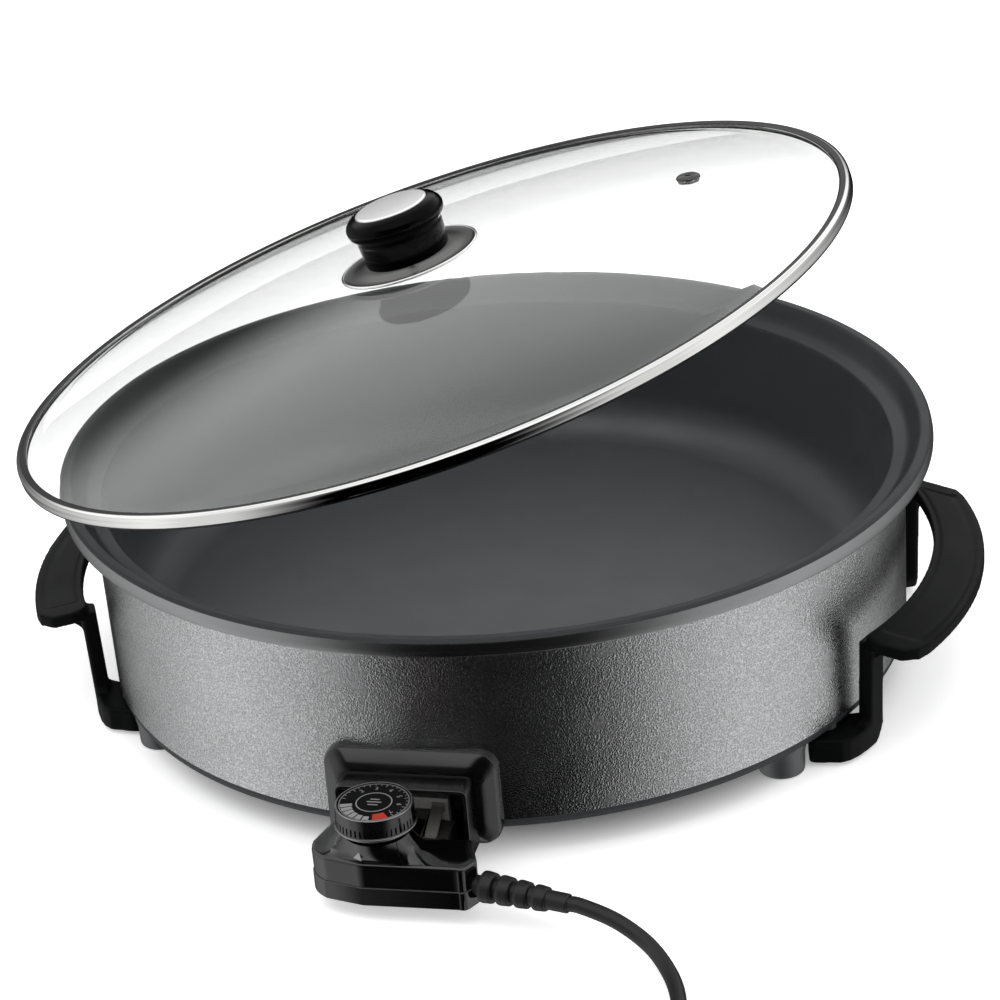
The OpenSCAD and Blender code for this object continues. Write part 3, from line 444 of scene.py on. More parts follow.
def eased(outline: Outline, steps: int = 4) -> list[tuple[float, float]]:
    """Rounds the corners of an outline whose points carry a rounding length as a third number.

    Args:
        outline: Points (x, y) or (x, y, rounding), in millimetres.
        steps: Spans in each rounded corner.

    Returns:
        The outline's points with the corners rounded.
    """
    made: list[tuple[float, float]] = []
    count = len(outline)
    for index, point in enumerate(outline):
        corner = Vector(point[:2])
        if len(point) < 3 or point[2] == 0:
            made.append(tuple(corner))
            continue
        ends = []
        for other in (outline[index - 1], outline[(index + 1) % count]):
            way = Vector(other[:2]) - corner
            ends.append(corner + way.normalized() * min(point[2], way.length * 0.5))
        for step in range(steps + 1):
            t = step / steps
            made.append(tuple(ends[0].lerp(corner, t).lerp(corner.lerp(ends[1], t), t)))
    return made


@dataclass
class Spacing:
    """Adds points along closed outlines, on each span as many as in the first outline.

    Loops that are skinned together need the same number of points, though some are smaller.
    """

    gap: float
    parts: list[int] = field(default_factory=list)

    def of(self, points: Outline) -> list[tuple[float, float]]:
        """Adds points along an outline.

        Args:
            points: The outline. The first one has its long spans cut to about the gap.

        Returns:
            All its points, old and new.
        """
        spans = [(Vector(here), Vector(there))
                 for here, there in zip(points, [*points[1:], points[0]])]
        if not self.parts:
            self.parts = [max(1, round((there - here).length / self.gap)) for here, there in spans]
        return [tuple(here.lerp(there, k / count))
                for (here, there), count in zip(spans, self.parts) for k in range(count)]


def round_rectangle(width: float, height: float, corner: float, steps: int,
                    middle: tuple[float, float] = (0.0, 0.0)) -> list[tuple[float, float]]:
    """Gives the points of a rounded rectangle, anticlockwise.

    Args:
        width: Its width.
        height: Its height.
        corner: Radius of its corners.
        steps: Spans in each corner.
        middle: Its centre.

    Returns:
        The points.
    """
    made = []
    for sx, sy, start in ((1, 1, 0), (-1, 1, 90), (-1, -1, 180), (1, -1, 270)):
        cx, cy = middle[0] + sx * (width / 2 - corner), middle[1] + sy * (height / 2 - corner)
        for step in range(steps + 1):
            turn = math.radians(start + 90 * step / steps)
            made.append((cx + corner * math.cos(turn), cy + corner * math.sin(turn)))
    return made


class Blank:
    """A solid being worked, in millimetres, before it becomes a finished piece."""

    def __init__(self) -> None:
        """Starts with nothing on the bench."""
        self.bm = bmesh.new()

    def take(self, fresh: bmesh.types.BMesh) -> "Blank":
        """Adds a bmesh to the bench and frees it.

        Args:
            fresh: The bmesh.

        Returns:
            This blank.
        """
        mesh = bpy.data.meshes.new("offcut")
        fresh.to_mesh(mesh)
        fresh.free()
        self.bm.from_mesh(mesh)
        bpy.data.meshes.remove(mesh)
        return self

    def turned(self, outline: Outline, steps: int, ring: bool = False) -> "Blank":
        """Spins an outline of (radius, height) points a full turn round Z.

        Args:
            outline: The points, from axis to axis or round a ring's section.
            steps: Facets in the turn.
            ring: Whether the outline closes on itself away from the axis.

        Returns:
            This blank.
        """
        fresh = bmesh.new()
        points = [fresh.verts.new((r, 0.0, z)) for r, z in outline]
        pairs = list(zip(points, points[1:] + (points[:1] if ring else [])))
        lines = [fresh.edges.new(pair) for pair in pairs]
        bmesh.ops.spin(fresh, geom=points + lines, cent=(0, 0, 0), axis=(0, 0, 1),
                       angle=math.tau, steps=steps, use_merge=True, use_duplicate=False)
        bmesh.ops.remove_doubles(fresh, verts=fresh.verts, dist=TURNED_MERGE)
        bmesh.ops.recalc_face_normals(fresh, faces=fresh.faces)
        return self.take(fresh)

    def rod(self, radius: float, low: float, high: float, steps: int) -> "Blank":
        """Turns a solid rod between two heights and returns this blank."""
        return self.turned([(0, low), (radius, low), (radius, high), (0, high)], steps)

    def slab(self, plan: Outline, low: float, high: float) -> "Blank":
        """Raises a flat plan into a slab.

        Args:
            plan: Points (x, y) round the plan.
            low: Height of its underside.
            high: Height of its top.

        Returns:
            This blank.
        """
        fresh = bmesh.new()
        base = fresh.faces.new([fresh.verts.new((x, y, low)) for x, y in plan])
        raised = bmesh.ops.extrude_face_region(fresh, geom=[base])
        top = [part for part in raised["geom"] if isinstance(part, bmesh.types.BMVert)]
        bmesh.ops.translate(fresh, vec=(0, 0, high - low), verts=top)
        bmesh.ops.recalc_face_normals(fresh, faces=fresh.faces)
        return self.take(fresh)

    def lofted(self, loops: Sequence[Sequence[Vector]]) -> "Blank":
        """Skins a row of loops of equally many points with quads, and closes both ends.

        Args:
            loops: The loops, from the bottom up.

        Returns:
            This blank.
        """
        fresh = bmesh.new()
        rows = [[fresh.verts.new(p) for p in loop] for loop in loops]
        for low, high in zip(rows, rows[1:]):
            for index in range(len(low)):
                fresh.faces.new((low[index - 1], low[index], high[index], high[index - 1]))
        for end in (rows[0], rows[-1]):
            fresh.faces.new(end)
        bmesh.ops.recalc_face_normals(fresh, faces=fresh.faces)
        return self.take(fresh)

    def block(self, low: Sequence[float], high: Sequence[float]) -> "Blank":
        """Adds a rectangular block between two corners and returns this blank."""
        (x0, y0, z0), (x1, y1, z1) = low, high
        return self.slab([(x0, y0), (x1, y0), (x1, y1), (x0, y1)], z0, z1)

    def copy_of(self, node: str) -> "Blank":
        """Takes a merged copy of a CAD node's solid and returns this blank."""
        fresh = bmesh.new()
        fresh.from_mesh(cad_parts[node].data)
        bmesh.ops.scale(fresh, vec=(1 / MM,) * 3, verts=fresh.verts)
        bmesh.ops.remove_doubles(fresh, verts=fresh.verts, dist=COPIED_MERGE)
        return self.take(fresh)

    def moved(self, place: Matrix) -> "Blank":
        """Moves everything on the bench and returns this blank."""
        bmesh.ops.transform(self.bm, matrix=place, verts=self.bm.verts)
        if place.determinant() < 0:
            bmesh.ops.reverse_faces(self.bm, faces=self.bm.faces)
        return self

    def join(self, other: "Blank") -> "Blank":
        """Lays another blank's shapes beside this one's and returns this blank."""
        return self.take(other.bm)

    def soften(self, width: float, angle: float, segments: int,
               where: Callable[[Vector], bool] | None = None) -> "Blank":
        """Rounds the edges that turn sharply.

        Args:
            width: Rounding width.
            angle: Least turn of an edge that is rounded, in degrees.
            segments: Spans in the rounding.
            where: Test of an edge's middle point, or None for every edge.

        Returns:
            This blank.
        """
        turn = math.radians(angle)
        edges = [e for e in self.bm.edges if e.is_manifold and e.calc_face_angle(0) > turn
                 and (where is None or where((e.verts[0].co + e.verts[1].co) / 2))]
        bmesh.ops.bevel(self.bm, geom=edges, offset=width, offset_type="OFFSET",
                        segments=segments, profile=0.5, affect="EDGES", material=-1,
                        clamp_overlap=True)
        return self

    def cut(self, other: "Blank") -> "Blank":
        """Cuts another blank's solid out of this one and returns this blank."""
        return self._combine(other, "DIFFERENCE")

    def fuse(self, other: "Blank") -> "Blank":
        """Fuses another blank's solid with this one and returns this blank."""
        return self._combine(other, "UNION")

    def meet(self, other: "Blank") -> "Blank":
        """Keeps only what this solid shares with another blank's and returns this blank."""
        return self._combine(other, "INTERSECT")

    def _combine(self, other: "Blank", way: str) -> "Blank":
        """Combines two solids with a boolean modifier and brings the result back to the bench.

        Args:
            other: The blank that is cut out, fused on or met.
            way: The modifier's operation.

        Returns:
            This blank.
        """
        meshes, things = [], []
        for label, blank in (("kept", self), ("tool", other)):
            mesh = bpy.data.meshes.new(label)
            blank.bm.to_mesh(mesh)
            meshes.append(mesh)
            things.append(link(bpy.data.objects.new(label, mesh)))
        carve = things[0].modifiers.new("carve", "BOOLEAN")
        carve.operation, carve.object, carve.solver = way, things[1], "EXACT"
        graph = bpy.context.evaluated_depsgraph_get()
        result = bpy.data.meshes.new_from_object(things[0].evaluated_get(graph))
        self.bm.clear()
        self.bm.from_mesh(result)
        for thing in things:
            bpy.data.objects.remove(thing)
        for mesh in (*meshes, result):
            bpy.data.meshes.remove(mesh)
        return self

    def piece(self, name: str, body: str, slot: str, finishes: Sequence[Finish],
              stands_for: Sequence[str] = (), place: Matrix | None = None, crisp: float = 38.0,
              rule: Callable[[Vector, Vector], int] | None = None) -> bpy.types.Object:
        """Makes the finished piece, in metres, and gives it to a body.

        Args:
            name: The piece's name.
            body: CAD body that it moves with.
            slot: Material slot of the record, which is not used.
            finishes: Its finishes, which the rule picks from.
            stands_for: CAD nodes that it replaces.
            place: Where the blank goes, or None where it already is there.
            crisp: Turn above which an edge is shaded as an edge, in degrees.
            rule: Picks a finish from a face's middle and its normal, before placing.

        Returns:
            The new object.
        """
        if rule is not None:
            for face in self.bm.faces:
                face.material_index = rule(face.calc_center_median(), face.normal)
        if place is not None:
            self.moved(place)
        bmesh.ops.scale(self.bm, vec=(MM,) * 3, verts=self.bm.verts)
        mesh = bpy.data.meshes.new(name)
        self.bm.to_mesh(mesh)
        self.bm.free()
        mesh.shade_smooth()
        mesh.set_sharp_from_angle(angle=math.radians(crisp))
        for finish in finishes:
            mesh.materials.append(finish.material(place))
        made = link(bpy.data.objects.new(name, mesh))
        even = made.modifiers.new("even_shading", "WEIGHTED_NORMAL")
        even.keep_sharp = True
        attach(made, body)
        if stands_for:
            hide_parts(*stands_for)
        LOG.info("%s: %d faces, on %s", name, len(mesh.polygons), body)
        return made


# ---------- studio ----------


@dataclass(frozen=True)
class SkyBand:
    """The room's brightness at one level.

    Each stop holds a share of the way from straight behind the pan round to its dark side, and the
    brightness there. The band takes over from the one before it between two heights.
    """

    stops: tuple[tuple[float, float], ...]
    low: float = 0.0
    high: float = 0.0


@dataclass(frozen=True)
class Softbox:
    """A square lamp that faces the pan."""

    name: str
    spot: tuple[float, float, float]
    size: float
    power: float

    def hang(self) -> None:
        """Hangs the lamp where polished pieces don't mirror it."""
        data = bpy.data.lights.new(self.name, "AREA")
        data.size, data.energy = self.size, self.power
        lamp = link(bpy.data.objects.new(self.name, data))
        lamp.location = self.spot
        lamp.rotation_euler = (-Vector(self.spot)).to_track_quat("-Z", "Y").to_euler()
        lamp.visible_glossy = False


@dataclass
class Studio:
    """Camera, pale floor, soft room and lamps, in metres and degrees."""

    lens: float = 122.41
    sensor: float = 36.0
    sight: tuple[float, float] = (0.05, 100.0)
    spot: tuple[float, float, float] = (0.3834, -1.4623, 0.8069)
    azimuth: float = 14.7
    elevation: float = 25.562
    roll: float = -4.812
    floor_width: float = 40.0
    floor_grey: float = 0.92
    floor_roughness: float = 0.9
    floor_shine: float = 0.5
    # The floor's glow, from the edge of a ball of this radius in to its middle, under the pan,
    # where it falls almost to nothing: a painted shadow.
    painted_shadow_ball_r: float = 0.3
    glow_with_painted_shadow: tuple[tuple[float, float], ...] = ((0.0, 1.0), (0.32, 1.0), (0.45, 0.05), (1.0, 0.05))
    backdrop: float = 0.8
    sky_strength: float = 1.15
    dark_turn: float = 9.0
    bands: tuple[SkyBand, ...] = (
        SkyBand(((0.0, 0.0), (0.04, 0.03), (0.08, 0.11), (0.17, 0.29), (0.27, 0.44), (0.36, 0.58),
                 (0.5, 0.73), (0.57, 0.81), (0.61, 0.79), (0.69, 0.64), (0.8, 0.61), (0.85, 0.43),
                 (0.9, 0.18), (0.935, 0.05), (0.955, 0.0))),
        SkyBand(((0.0, 1.0), (0.5, 0.9), (0.75, 0.6), (0.9, 0.08), (1.0, 0.0)), 0.12, 0.34),
        SkyBand(((0.0, 0.8), (0.5, 0.8), (0.8, 0.9), (1.0, 1.0)), 0.5, 0.62))
    lamps: tuple[Softbox, ...] = (Softbox("key_lamp", (-0.9, -0.5, 2.1), 1.6, 14.0),
                                  Softbox("fill_lamp", (1.1, 0.5, 2.0), 1.6, 9.0))

    def build(self) -> None:
        """Makes the camera, the floor, the room and the lamps."""
        self._camera()
        self._floor()
        self._room()
        for lamp in self.lamps:
            lamp.hang()

    def _axes(self) -> tuple[Vector, Vector, Vector]:
        """Works out how a camera without roll stands.

        Returns:
            Its right, up and back directions.
        """
        a, e = math.radians(self.azimuth), math.radians(self.elevation)
        right = Vector((math.cos(a), math.sin(a), 0))
        up = Vector((-math.sin(a) * math.sin(e), math.cos(a) * math.sin(e), math.cos(e)))
        back = Vector((math.sin(a) * math.cos(e), -math.cos(a) * math.cos(e), math.sin(e)))
        return right, up, back

    def _camera(self) -> None:
        """Makes the camera at the pan's own viewing angle."""
        right, up, back = self._axes()
        r = math.radians(self.roll)
        across = right * math.cos(r) + up * math.sin(r)
        upward = -right * math.sin(r) + up * math.cos(r)
        data = bpy.data.cameras.new("camera")
        data.lens, data.sensor_width, data.sensor_fit = self.lens, self.sensor, "HORIZONTAL"
        data.clip_start, data.clip_end = self.sight
        camera = link(bpy.data.objects.new("camera", data))
        camera.matrix_world = Matrix((across, upward, back)).transposed().to_4x4()
        camera.location = self.spot
        bpy.context.scene.camera = camera

    def _floor(self) -> None:
        """Lays the pale floor, which glows except under the pan, where a painted shadow darkens
        it, and which no piece mirrors.
        """
        bm = bmesh.new()
        bmesh.ops.create_grid(bm, x_segments=1, y_segments=1, size=self.floor_width / 2)
        mesh = bpy.data.meshes.new("floor")
        bm.to_mesh(mesh)
        bm.free()
        floor = link(bpy.data.objects.new("floor", mesh))
        paint = bpy.data.materials.new("floor_paint")
        paint.use_nodes = True
        tree = paint.node_tree
        shader = tree.nodes["Principled BSDF"]
        for socket, value in (("Base Color", (*(self.floor_grey,) * 3, 1)),
                              ("Roughness", self.floor_roughness), ("Specular IOR Level", 0.0),
                              ("Emission Strength", self.floor_shine)):
            shader.inputs[socket].default_value = value
        # The glow's colour fades out under the pan: a painted shadow.
        near = add_node(tree, "Mapping", {"Vector": add_node(tree, "TexCoord").outputs["Object"],
                                          "Scale": (1 / self.painted_shadow_ball_r,) * 3})
        ball = add_node(tree, "TexGradient", {"Vector": near.outputs["Vector"]},
                        gradient_type="SPHERICAL")
        tree.links.new(self._ramp(tree, self.glow_with_painted_shadow, ball.outputs["Fac"]),
                       shader.inputs["Emission Color"])
        mesh.materials.append(paint)
        floor.visible_glossy = False

    def _room(self) -> None:
        """Makes the soft room that the pan stands in, with a plain backdrop behind it."""
        world = bpy.data.worlds.new("room")
        bpy.context.scene.world = world
        world.use_nodes = True
        tree = world.node_tree
        shown = add_node(tree, "Mix", {
            "Factor": add_node(tree, "LightPath").outputs["Is Camera Ray"],
            "A": self._shade(tree), "B": (*(self.backdrop,) * 3, 1)}, data_type="RGBA")
        light = tree.nodes["Background"]
        light.inputs["Strength"].default_value = self.sky_strength
        tree.links.new(shown.outputs["Result"], light.inputs["Color"])
        bpy.context.scene.view_settings.view_transform = "Standard"

    def _shade(self, tree: Tree) -> Socket:
        """Works out the room's brightness: pale above and at both sides, dark in front.

        Args:
            tree: The world's node tree.

        Returns:
            The brightness in the direction that is looked in.
        """
        way = add_node(tree, "TexCoord").outputs["Generated"]
        height = add_node(tree, "SeparateXYZ", {"Vector": way}).outputs["Z"]
        flat = add_node(tree, "VectorMath", {0: way, 1: (1, 1, 0)}, operation="MULTIPLY")
        level = add_node(tree, "VectorMath", {0: flat.outputs["Vector"]}, operation="NORMALIZE")
        a = math.radians(self.dark_turn)
        facing = add_node(tree, "VectorMath", {
            0: level.outputs["Vector"], 1: (math.sin(a), -math.cos(a), 0)},
            operation="DOT_PRODUCT")
        round_share = add_node(tree, "MapRange", {
            "Value": facing.outputs["Value"], "From Min": -1}).outputs["Result"]
        lowest, *higher = self.bands
        shade = self._ramp(tree, lowest.stops, round_share)
        for band in higher:
            rise = add_node(tree, "MapRange", {
                "Value": height, "From Min": band.low, "From Max": band.high},
                interpolation_type="SMOOTHSTEP")
            blend = add_node(tree, "Mix", {
                "Factor": rise.outputs["Result"], "A": shade,
                "B": self._ramp(tree, band.stops, round_share)}, data_type="RGBA")
            shade = blend.outputs["Result"]
        return shade

    @staticmethod
    def _ramp(tree: Tree, stops: Sequence[tuple[float, float]], share: Socket) -> Socket:
        """Makes a grey ramp.

        Args:
            tree: The node tree.
            stops: Its positions, each with the brightness there.
            share: The position that is read.

        Returns:
            The grey at that position.
        """
        ramp = add_node(tree, "ValToRGB", {"Fac": share})
        ramp.color_ramp.interpolation = "LINEAR"
        while len(ramp.color_ramp.elements) < len(stops):
            ramp.color_ramp.elements.new(0.5)
        for element, (position, value) in zip(ramp.color_ramp.elements, stops):
            element.position = position
            element.color = (value, value, value, 1)
        return ramp.outputs["Color"]


# ---------- mains lead ----------


@dataclass
class MainsLead:
    """The lead from the controller's strain relief to its plug, with the spare length tied up."""

    diameter: float = 7.0
    exit_point: tuple[float, float, float] = (82.1336, -254.1284, 16.5)
    straight_end: tuple[float, float, float] = (87.9554, -255.5799, 16.5)
    lead_points: tuple[tuple[float, float, float], ...] = (
        (104, -261, 13.6), (119, -269, 8), (130, -283, 4.6), (137, -300, 3.6), (140.5, -320, 3.6),
        (142, -342, 3.6), (142, -364, 3.6))
    coil_centre: tuple[float, float] = (97, -383)
    # Radii of the coil's turns, and where its wound angle takes the lead from one to the next.
    turns: tuple[float, ...] = (45, 38, 31)
    shifts: tuple[tuple[float, float, int, int], ...] = (
        (240, 360, 0, 1), (600, 720, 1, 2), (1100, 1220, 2, 1), (1460, 1580, 1, 0))
    # Heights of the coil's two layers, and where it climbs from one to the other.
    layers: tuple[float, float] = (3.6, 10.7)
    climb: tuple[float, float] = (860, 960)
    last_angle: float = 1890.0
    points_a_turn: int = 18
    tail_points: tuple[tuple[float, float, float], ...] = (
        (84, -428, 11.6), (68, -428, 14.4), (54, -428, 17.4), (44, -428, 18.9), (30, -428, 19))
    handle_share: float = 1 / 6
    smoothness: int = 5
    plug_start: tuple[float, float, float] = (36, -428, 19)
    plug_r: float = 19.0

    def build(self) -> None:
        """Makes the lead's curve and its plug, and dresses what is on them."""
        route = self.route()
        cord = self._curve(route)
        self._plug()
        dress_nodes(TIE_PLASTIC, "coil_tie")
        dress_nodes(PLATED, "plug_pins", "plug_earth_clips")

    def route(self) -> list[Vector]:
        """Works out the route's own points, from the strain relief to inside the plug.

        Returns:
            The points, in millimetres.
        """
        points = [Vector(self.exit_point), Vector(self.straight_end)]
        points += [Vector(p) for p in self.lead_points]
        count = round(self.last_angle / 360 * self.points_a_turn)
        for index in range(count + 1):
            turn = self.last_angle * index / count
            radius, height = self._lay_of(turn)
            a = math.radians(-turn)
            points.append(Vector((self.coil_centre[0] + radius * math.cos(a),
                                  self.coil_centre[1] + radius * math.sin(a), height)))
        return points + [Vector(p) for p in self.tail_points]

    def _lay_of(self, turn: float) -> tuple[float, float]:
        """Finds where the coil lies.

        Args:
            turn: The angle wound so far, in degrees.

        Returns:
            The coil's radius and height there.
        """
        radius = self.turns[0]
        for start, end, before, after in self.shifts:
            if turn > start:
                gain = self.turns[after] - self.turns[before]
                radius = self.turns[before] + gain * smooth_share(turn, start, end)
        low, high = self.layers
        return radius, low + (high - low) * smooth_share(turn, *self.climb)

    def _curve(self, route: Sequence[Vector]) -> bpy.types.Object:
        """Draws one smooth open curve.

        Args:
            route: The points that it passes through.

        Returns:
            The lead.
        """
        data = bpy.data.curves.new("mains_cord", "CURVE")
        data.dimensions = "3D"
        data.bevel_depth = self.diameter / 2 * MM
        data.bevel_resolution = data.resolution_u = self.smoothness
        data.use_fill_caps = True
        line = data.splines.new("BEZIER")
        line.bezier_points.add(len(route) - 1)
        for index, knot in enumerate(line.bezier_points):
            here = route[index]
            before, after = route[max(index - 1, 0)], route[min(index + 1, len(route) - 1)]
            reach = (after - before) * self.handle_share
            knot.handle_left_type = knot.handle_right_type = "FREE"
            knot.co = here * MM
            knot.handle_left = (here - reach) * MM
            knot.handle_right = (here + reach) * MM
        data.materials.append(CORD_RUBBER.material())
        cord = link(bpy.data.objects.new("mains_cord", data))
        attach(cord, "controller")
        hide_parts("cord", "cord_coil")
        LOG.info("mains_cord: %d knots, %.3f m", len(route), self._length(cord))
        return cord

    @staticmethod
    def _length(cord: bpy.types.Object) -> float:
        """Measures the curve's length in metres."""
        return cord.data.splines[0].calc_length(resolution=64)

    def _plug(self) -> None:
        """Turns the round plug, with its collar, finger grips and side grooves."""
        r = self.plug_r
        body = Blank().turned(eased([
            (0, 0), (5.4, 0, 0.8), (5.7, 6, 0.5), (5.2, 7, 0.4), (5.3, 8.4, 0.4), (5.9, 9, 0.4),
            (6.2, 13, 0.6), (9, 18, 3), (13, 21, 2.5), (r - 3, 30, 3), (r - 0.3, 33, 1.5),
            (r, 36, 1), (r, 48, 1.2), (r - 1.6, 49, 0.8), (r - 3, 49), (0, 49)]), 96)
        grooves = Blank()
        set_in, half_depth, half_width = 0.4, 2.4, 3.2
        for side in (-1, 1):
            x = side * (r - set_in)
            grooves.block((x - half_depth, -half_width, 30), (x + half_depth, half_width, 60))
        body.cut(grooves)
        body.soften(0.4, 50, 2).piece(
            "plug_shell", "controller", "gloss_black", [CORD_RUBBER], ["plug_body"],
            Matrix.Translation(self.plug_start) @ turned_by(-90, "Y"))


# ---------- pan ----------


@dataclass
class Pan:
    """The cast pan: hammered wall, smooth rim, stepped shoulder, bowl and underside."""

    rim_r: float = 212.5
    rim_top: float = 119.0
    wall_r: float = 198.6
    skirt_r: float = 197.2
    skirt_in_r: float = 190.7
    skirt_base: float = 14.0
    # Height of the skirt's edge, and of the band of painted shade at its foot.
    skirt_edge_painted_shade: float = 5.0
    band_height: float = 8.6
    bowl_r: float = 189.3
    floor_z: float = 36.0
    under_z: float = 31.0
    floor_corner: float = 24.0
    foot_r: float = 184.2
    foot_turn: float = 34.5
    foot_dia: float = 22.0
    foot_height: float = 16.0
    element_r: float = 118.0
    element_slot: tuple[float, float] = (17.5, 23.7)
    rib_half: float = 8.0
    sheath_half: float = 4.2
    rib_gap: tuple[tuple[float, float, float], tuple[float, float, float]] = (
        (-30.5, -132, 10), (30.5, -104, 24.8))
    boss: tuple[tuple[float, float, float], tuple[float, float, float]] = (
        (-24, -194.2, 14.2), (24, -148.2, 31.4))
    bore_from: float = 136.0
    probe_bore: tuple[float, float] = (3.3, 60)
    pin_bore: tuple[float, float] = (4.2, 70)
    post_at: float = 192.2
    post_turn: float = 27.3
    post_r: float = 4.9
    post_bore: float = 2.1
    post_ends: tuple[float, float] = (14.2, 31.2)

    def build(self) -> None:
        """Makes the casting and its underside, and dresses the heating parts."""
        self._shell()
        self._feet()
        self._underside()
        dress_nodes(SHEATH, "heating_element")
        dress_nodes(PLATED, "terminal_pins")
        dress_nodes(CERAMIC, "pin_bushes", "ceramic_plate")
        dress_nodes(SPRING, "earth_contact")
        dress_nodes(SCREW_ZINC, "guard_screws", "handle_screws")

    def _outline(self) -> list[tuple[float, float]]:
        """Draws the casting's section, from the bowl's middle round to the underside's.

        Returns:
            The section's points.
        """
        top, rim, low = self.rim_top, self.rim_r, self.skirt_base
        corner_r, corner_z = self.bowl_r - self.floor_corner, self.floor_z + self.floor_corner
        bowl = [(corner_r + self.floor_corner * math.sin(math.radians(a)),
                 corner_z - self.floor_corner * math.cos(math.radians(a)))
                for a in range(6, 91, 7)]
        wall_top = top - self.band_height
        return [(0, self.floor_z), (60, self.floor_z), (120, self.floor_z), *bowl, *eased([
            (192.3, top - 10.2, 1.6), (199.4, top - 9.2, 1.2), (201.4, top - 7.2, 1.5),
            (205.6, top - 0.9, 0.9), (206.6, top, 0.7), (210.4, top, 0.7),
            (211.8, top - 1.3, 1.0), (rim, top - 5.4, 0.9), (rim - 0.2, top - 7.8, 0.6),
            (rim - 2.0, wall_top - 0.1, 0.8), (self.wall_r + 1.6, wall_top - 1.9, 1.4),
            (self.wall_r, wall_top - 4.4, 1.8), (self.skirt_r, low + self.skirt_edge_painted_shade + 0.4),
            (self.skirt_r, low + 3.4, 1.2), (self.skirt_r - 1.2, low + 1, 0.8),
            (self.skirt_r - 3.4, low, 1.0), (self.skirt_in_r, low, 0.6),
            (self.skirt_in_r - 0.6, self.under_z, 1.5)], 4), (0, self.under_z)]

    def _shell(self) -> None:
        """Turns the casting and splits its finishes at the rim, the lip and the skirt's edge. The
        dark lip finish is painted shade on the rim's upward faces, the bowl's top band and the
        skirt's foot.
        """
        hammered, smooth, coated, cast, lip = range(5)
        wall_top = self.rim_top - self.band_height - 2.6
        painted_shade_within_r, painted_shade_depth = 205.0, 11.0

        def finish_of(middle: Vector, normal: Vector) -> int:
            """Picks a face's finish.

            Args:
                middle: The face's middle.
                normal: The way that it faces.

            Returns:
                The finish's place in the piece's list.
            """
            radius = math.hypot(middle.x, middle.y)
            if radius > self.skirt_r - 2.0:
                # The skirt's foot takes the dark lip finish: painted shade near the floor.
                if middle.z < self.skirt_base + self.skirt_edge_painted_shade:
                    return lip
                if radius < self.wall_r + 1.2 and middle.z < wall_top:
                    return hammered
                # The rim's upward faces and its inner part take the dark lip finish: painted shade
                # in place of their reflection.
                return smooth if radius > painted_shade_within_r and normal.z < 0.4 else lip
            # The bowl's top band takes it too: painted shade.
            if middle.z > self.rim_top - painted_shade_depth:
                return lip
            return coated if middle.z > self.floor_z - 1 else cast

        Blank().turned(self._outline(), 256).piece(
            "pan_shell", "pan", "cast_pan",
            [HAMMERED_GREY, SMOOTH_GREY, NON_STICK, CAST_GREY, PAINTED_SHADE_GREY],
            ["pan_body"], rule=finish_of, crisp=50)

    def _feet(self) -> None:
        """Stands four cast feet under the skirt."""
        r, top = self.foot_dia / 2, self.foot_height
        feet = Blank()
        for place in four_places(self.foot_turn, self.foot_r):
            feet.join(Blank().turned(eased([
                (0, 0), (r - 0.4, 0, 1.4), (r, 2.2, 1.0), (r + 0.1, 10, 2), (r + 1.1, 14.2, 2),
                (r + 1.1, top), (0, top)]), 48).moved(place))
        feet.piece("cast_feet", "pan", "cast_pan", [CAST_GREY])

    def _underside(self) -> None:
        """Adds the element's rib, the socket boss and the handle posts under the floor."""
        inner, outer = self.element_r - self.rib_half, self.element_r + self.rib_half
        near, far = self.element_r - self.sheath_half, self.element_r + self.sheath_half
        (low, high), top = self.element_slot, self.under_z + 0.3
        ribs = Blank().turned(eased([
            (inner, top), (inner, low, 0.8), (near, low, 0.6), (near, high, 0.5),
            (far, high, 0.5), (far, low, 0.6), (outer, low, 0.8), (outer, top)]), 160, ring=True)
        ribs.cut(Blank().block(*self.rib_gap))
        bores = Blank()
        for x, (radius, deep) in ((0, self.probe_bore), (-PIN_X, self.pin_bore),
                                  (PIN_X, self.pin_bore)):
            bores.join(Blank().rod(radius, 0, deep, 40)
                       .moved(facing_front(x, self.bore_from, SOCKET_Z)))
        ribs.join(Blank().block(*self.boss).cut(bores).soften(0.8, 60, 2))
        low, high = self.post_ends
        for place in four_places(self.post_turn, self.post_at):
            ribs.join(Blank().turned(eased([
                (self.post_bore, low), (self.post_r, low, 0.8), (self.post_r, high),
                (self.post_bore, high)]), 40, ring=True).moved(place))
        ribs.piece("underside_ribs", "pan", "cast_pan", [CAST_GREY])


# ---------- guard ----------


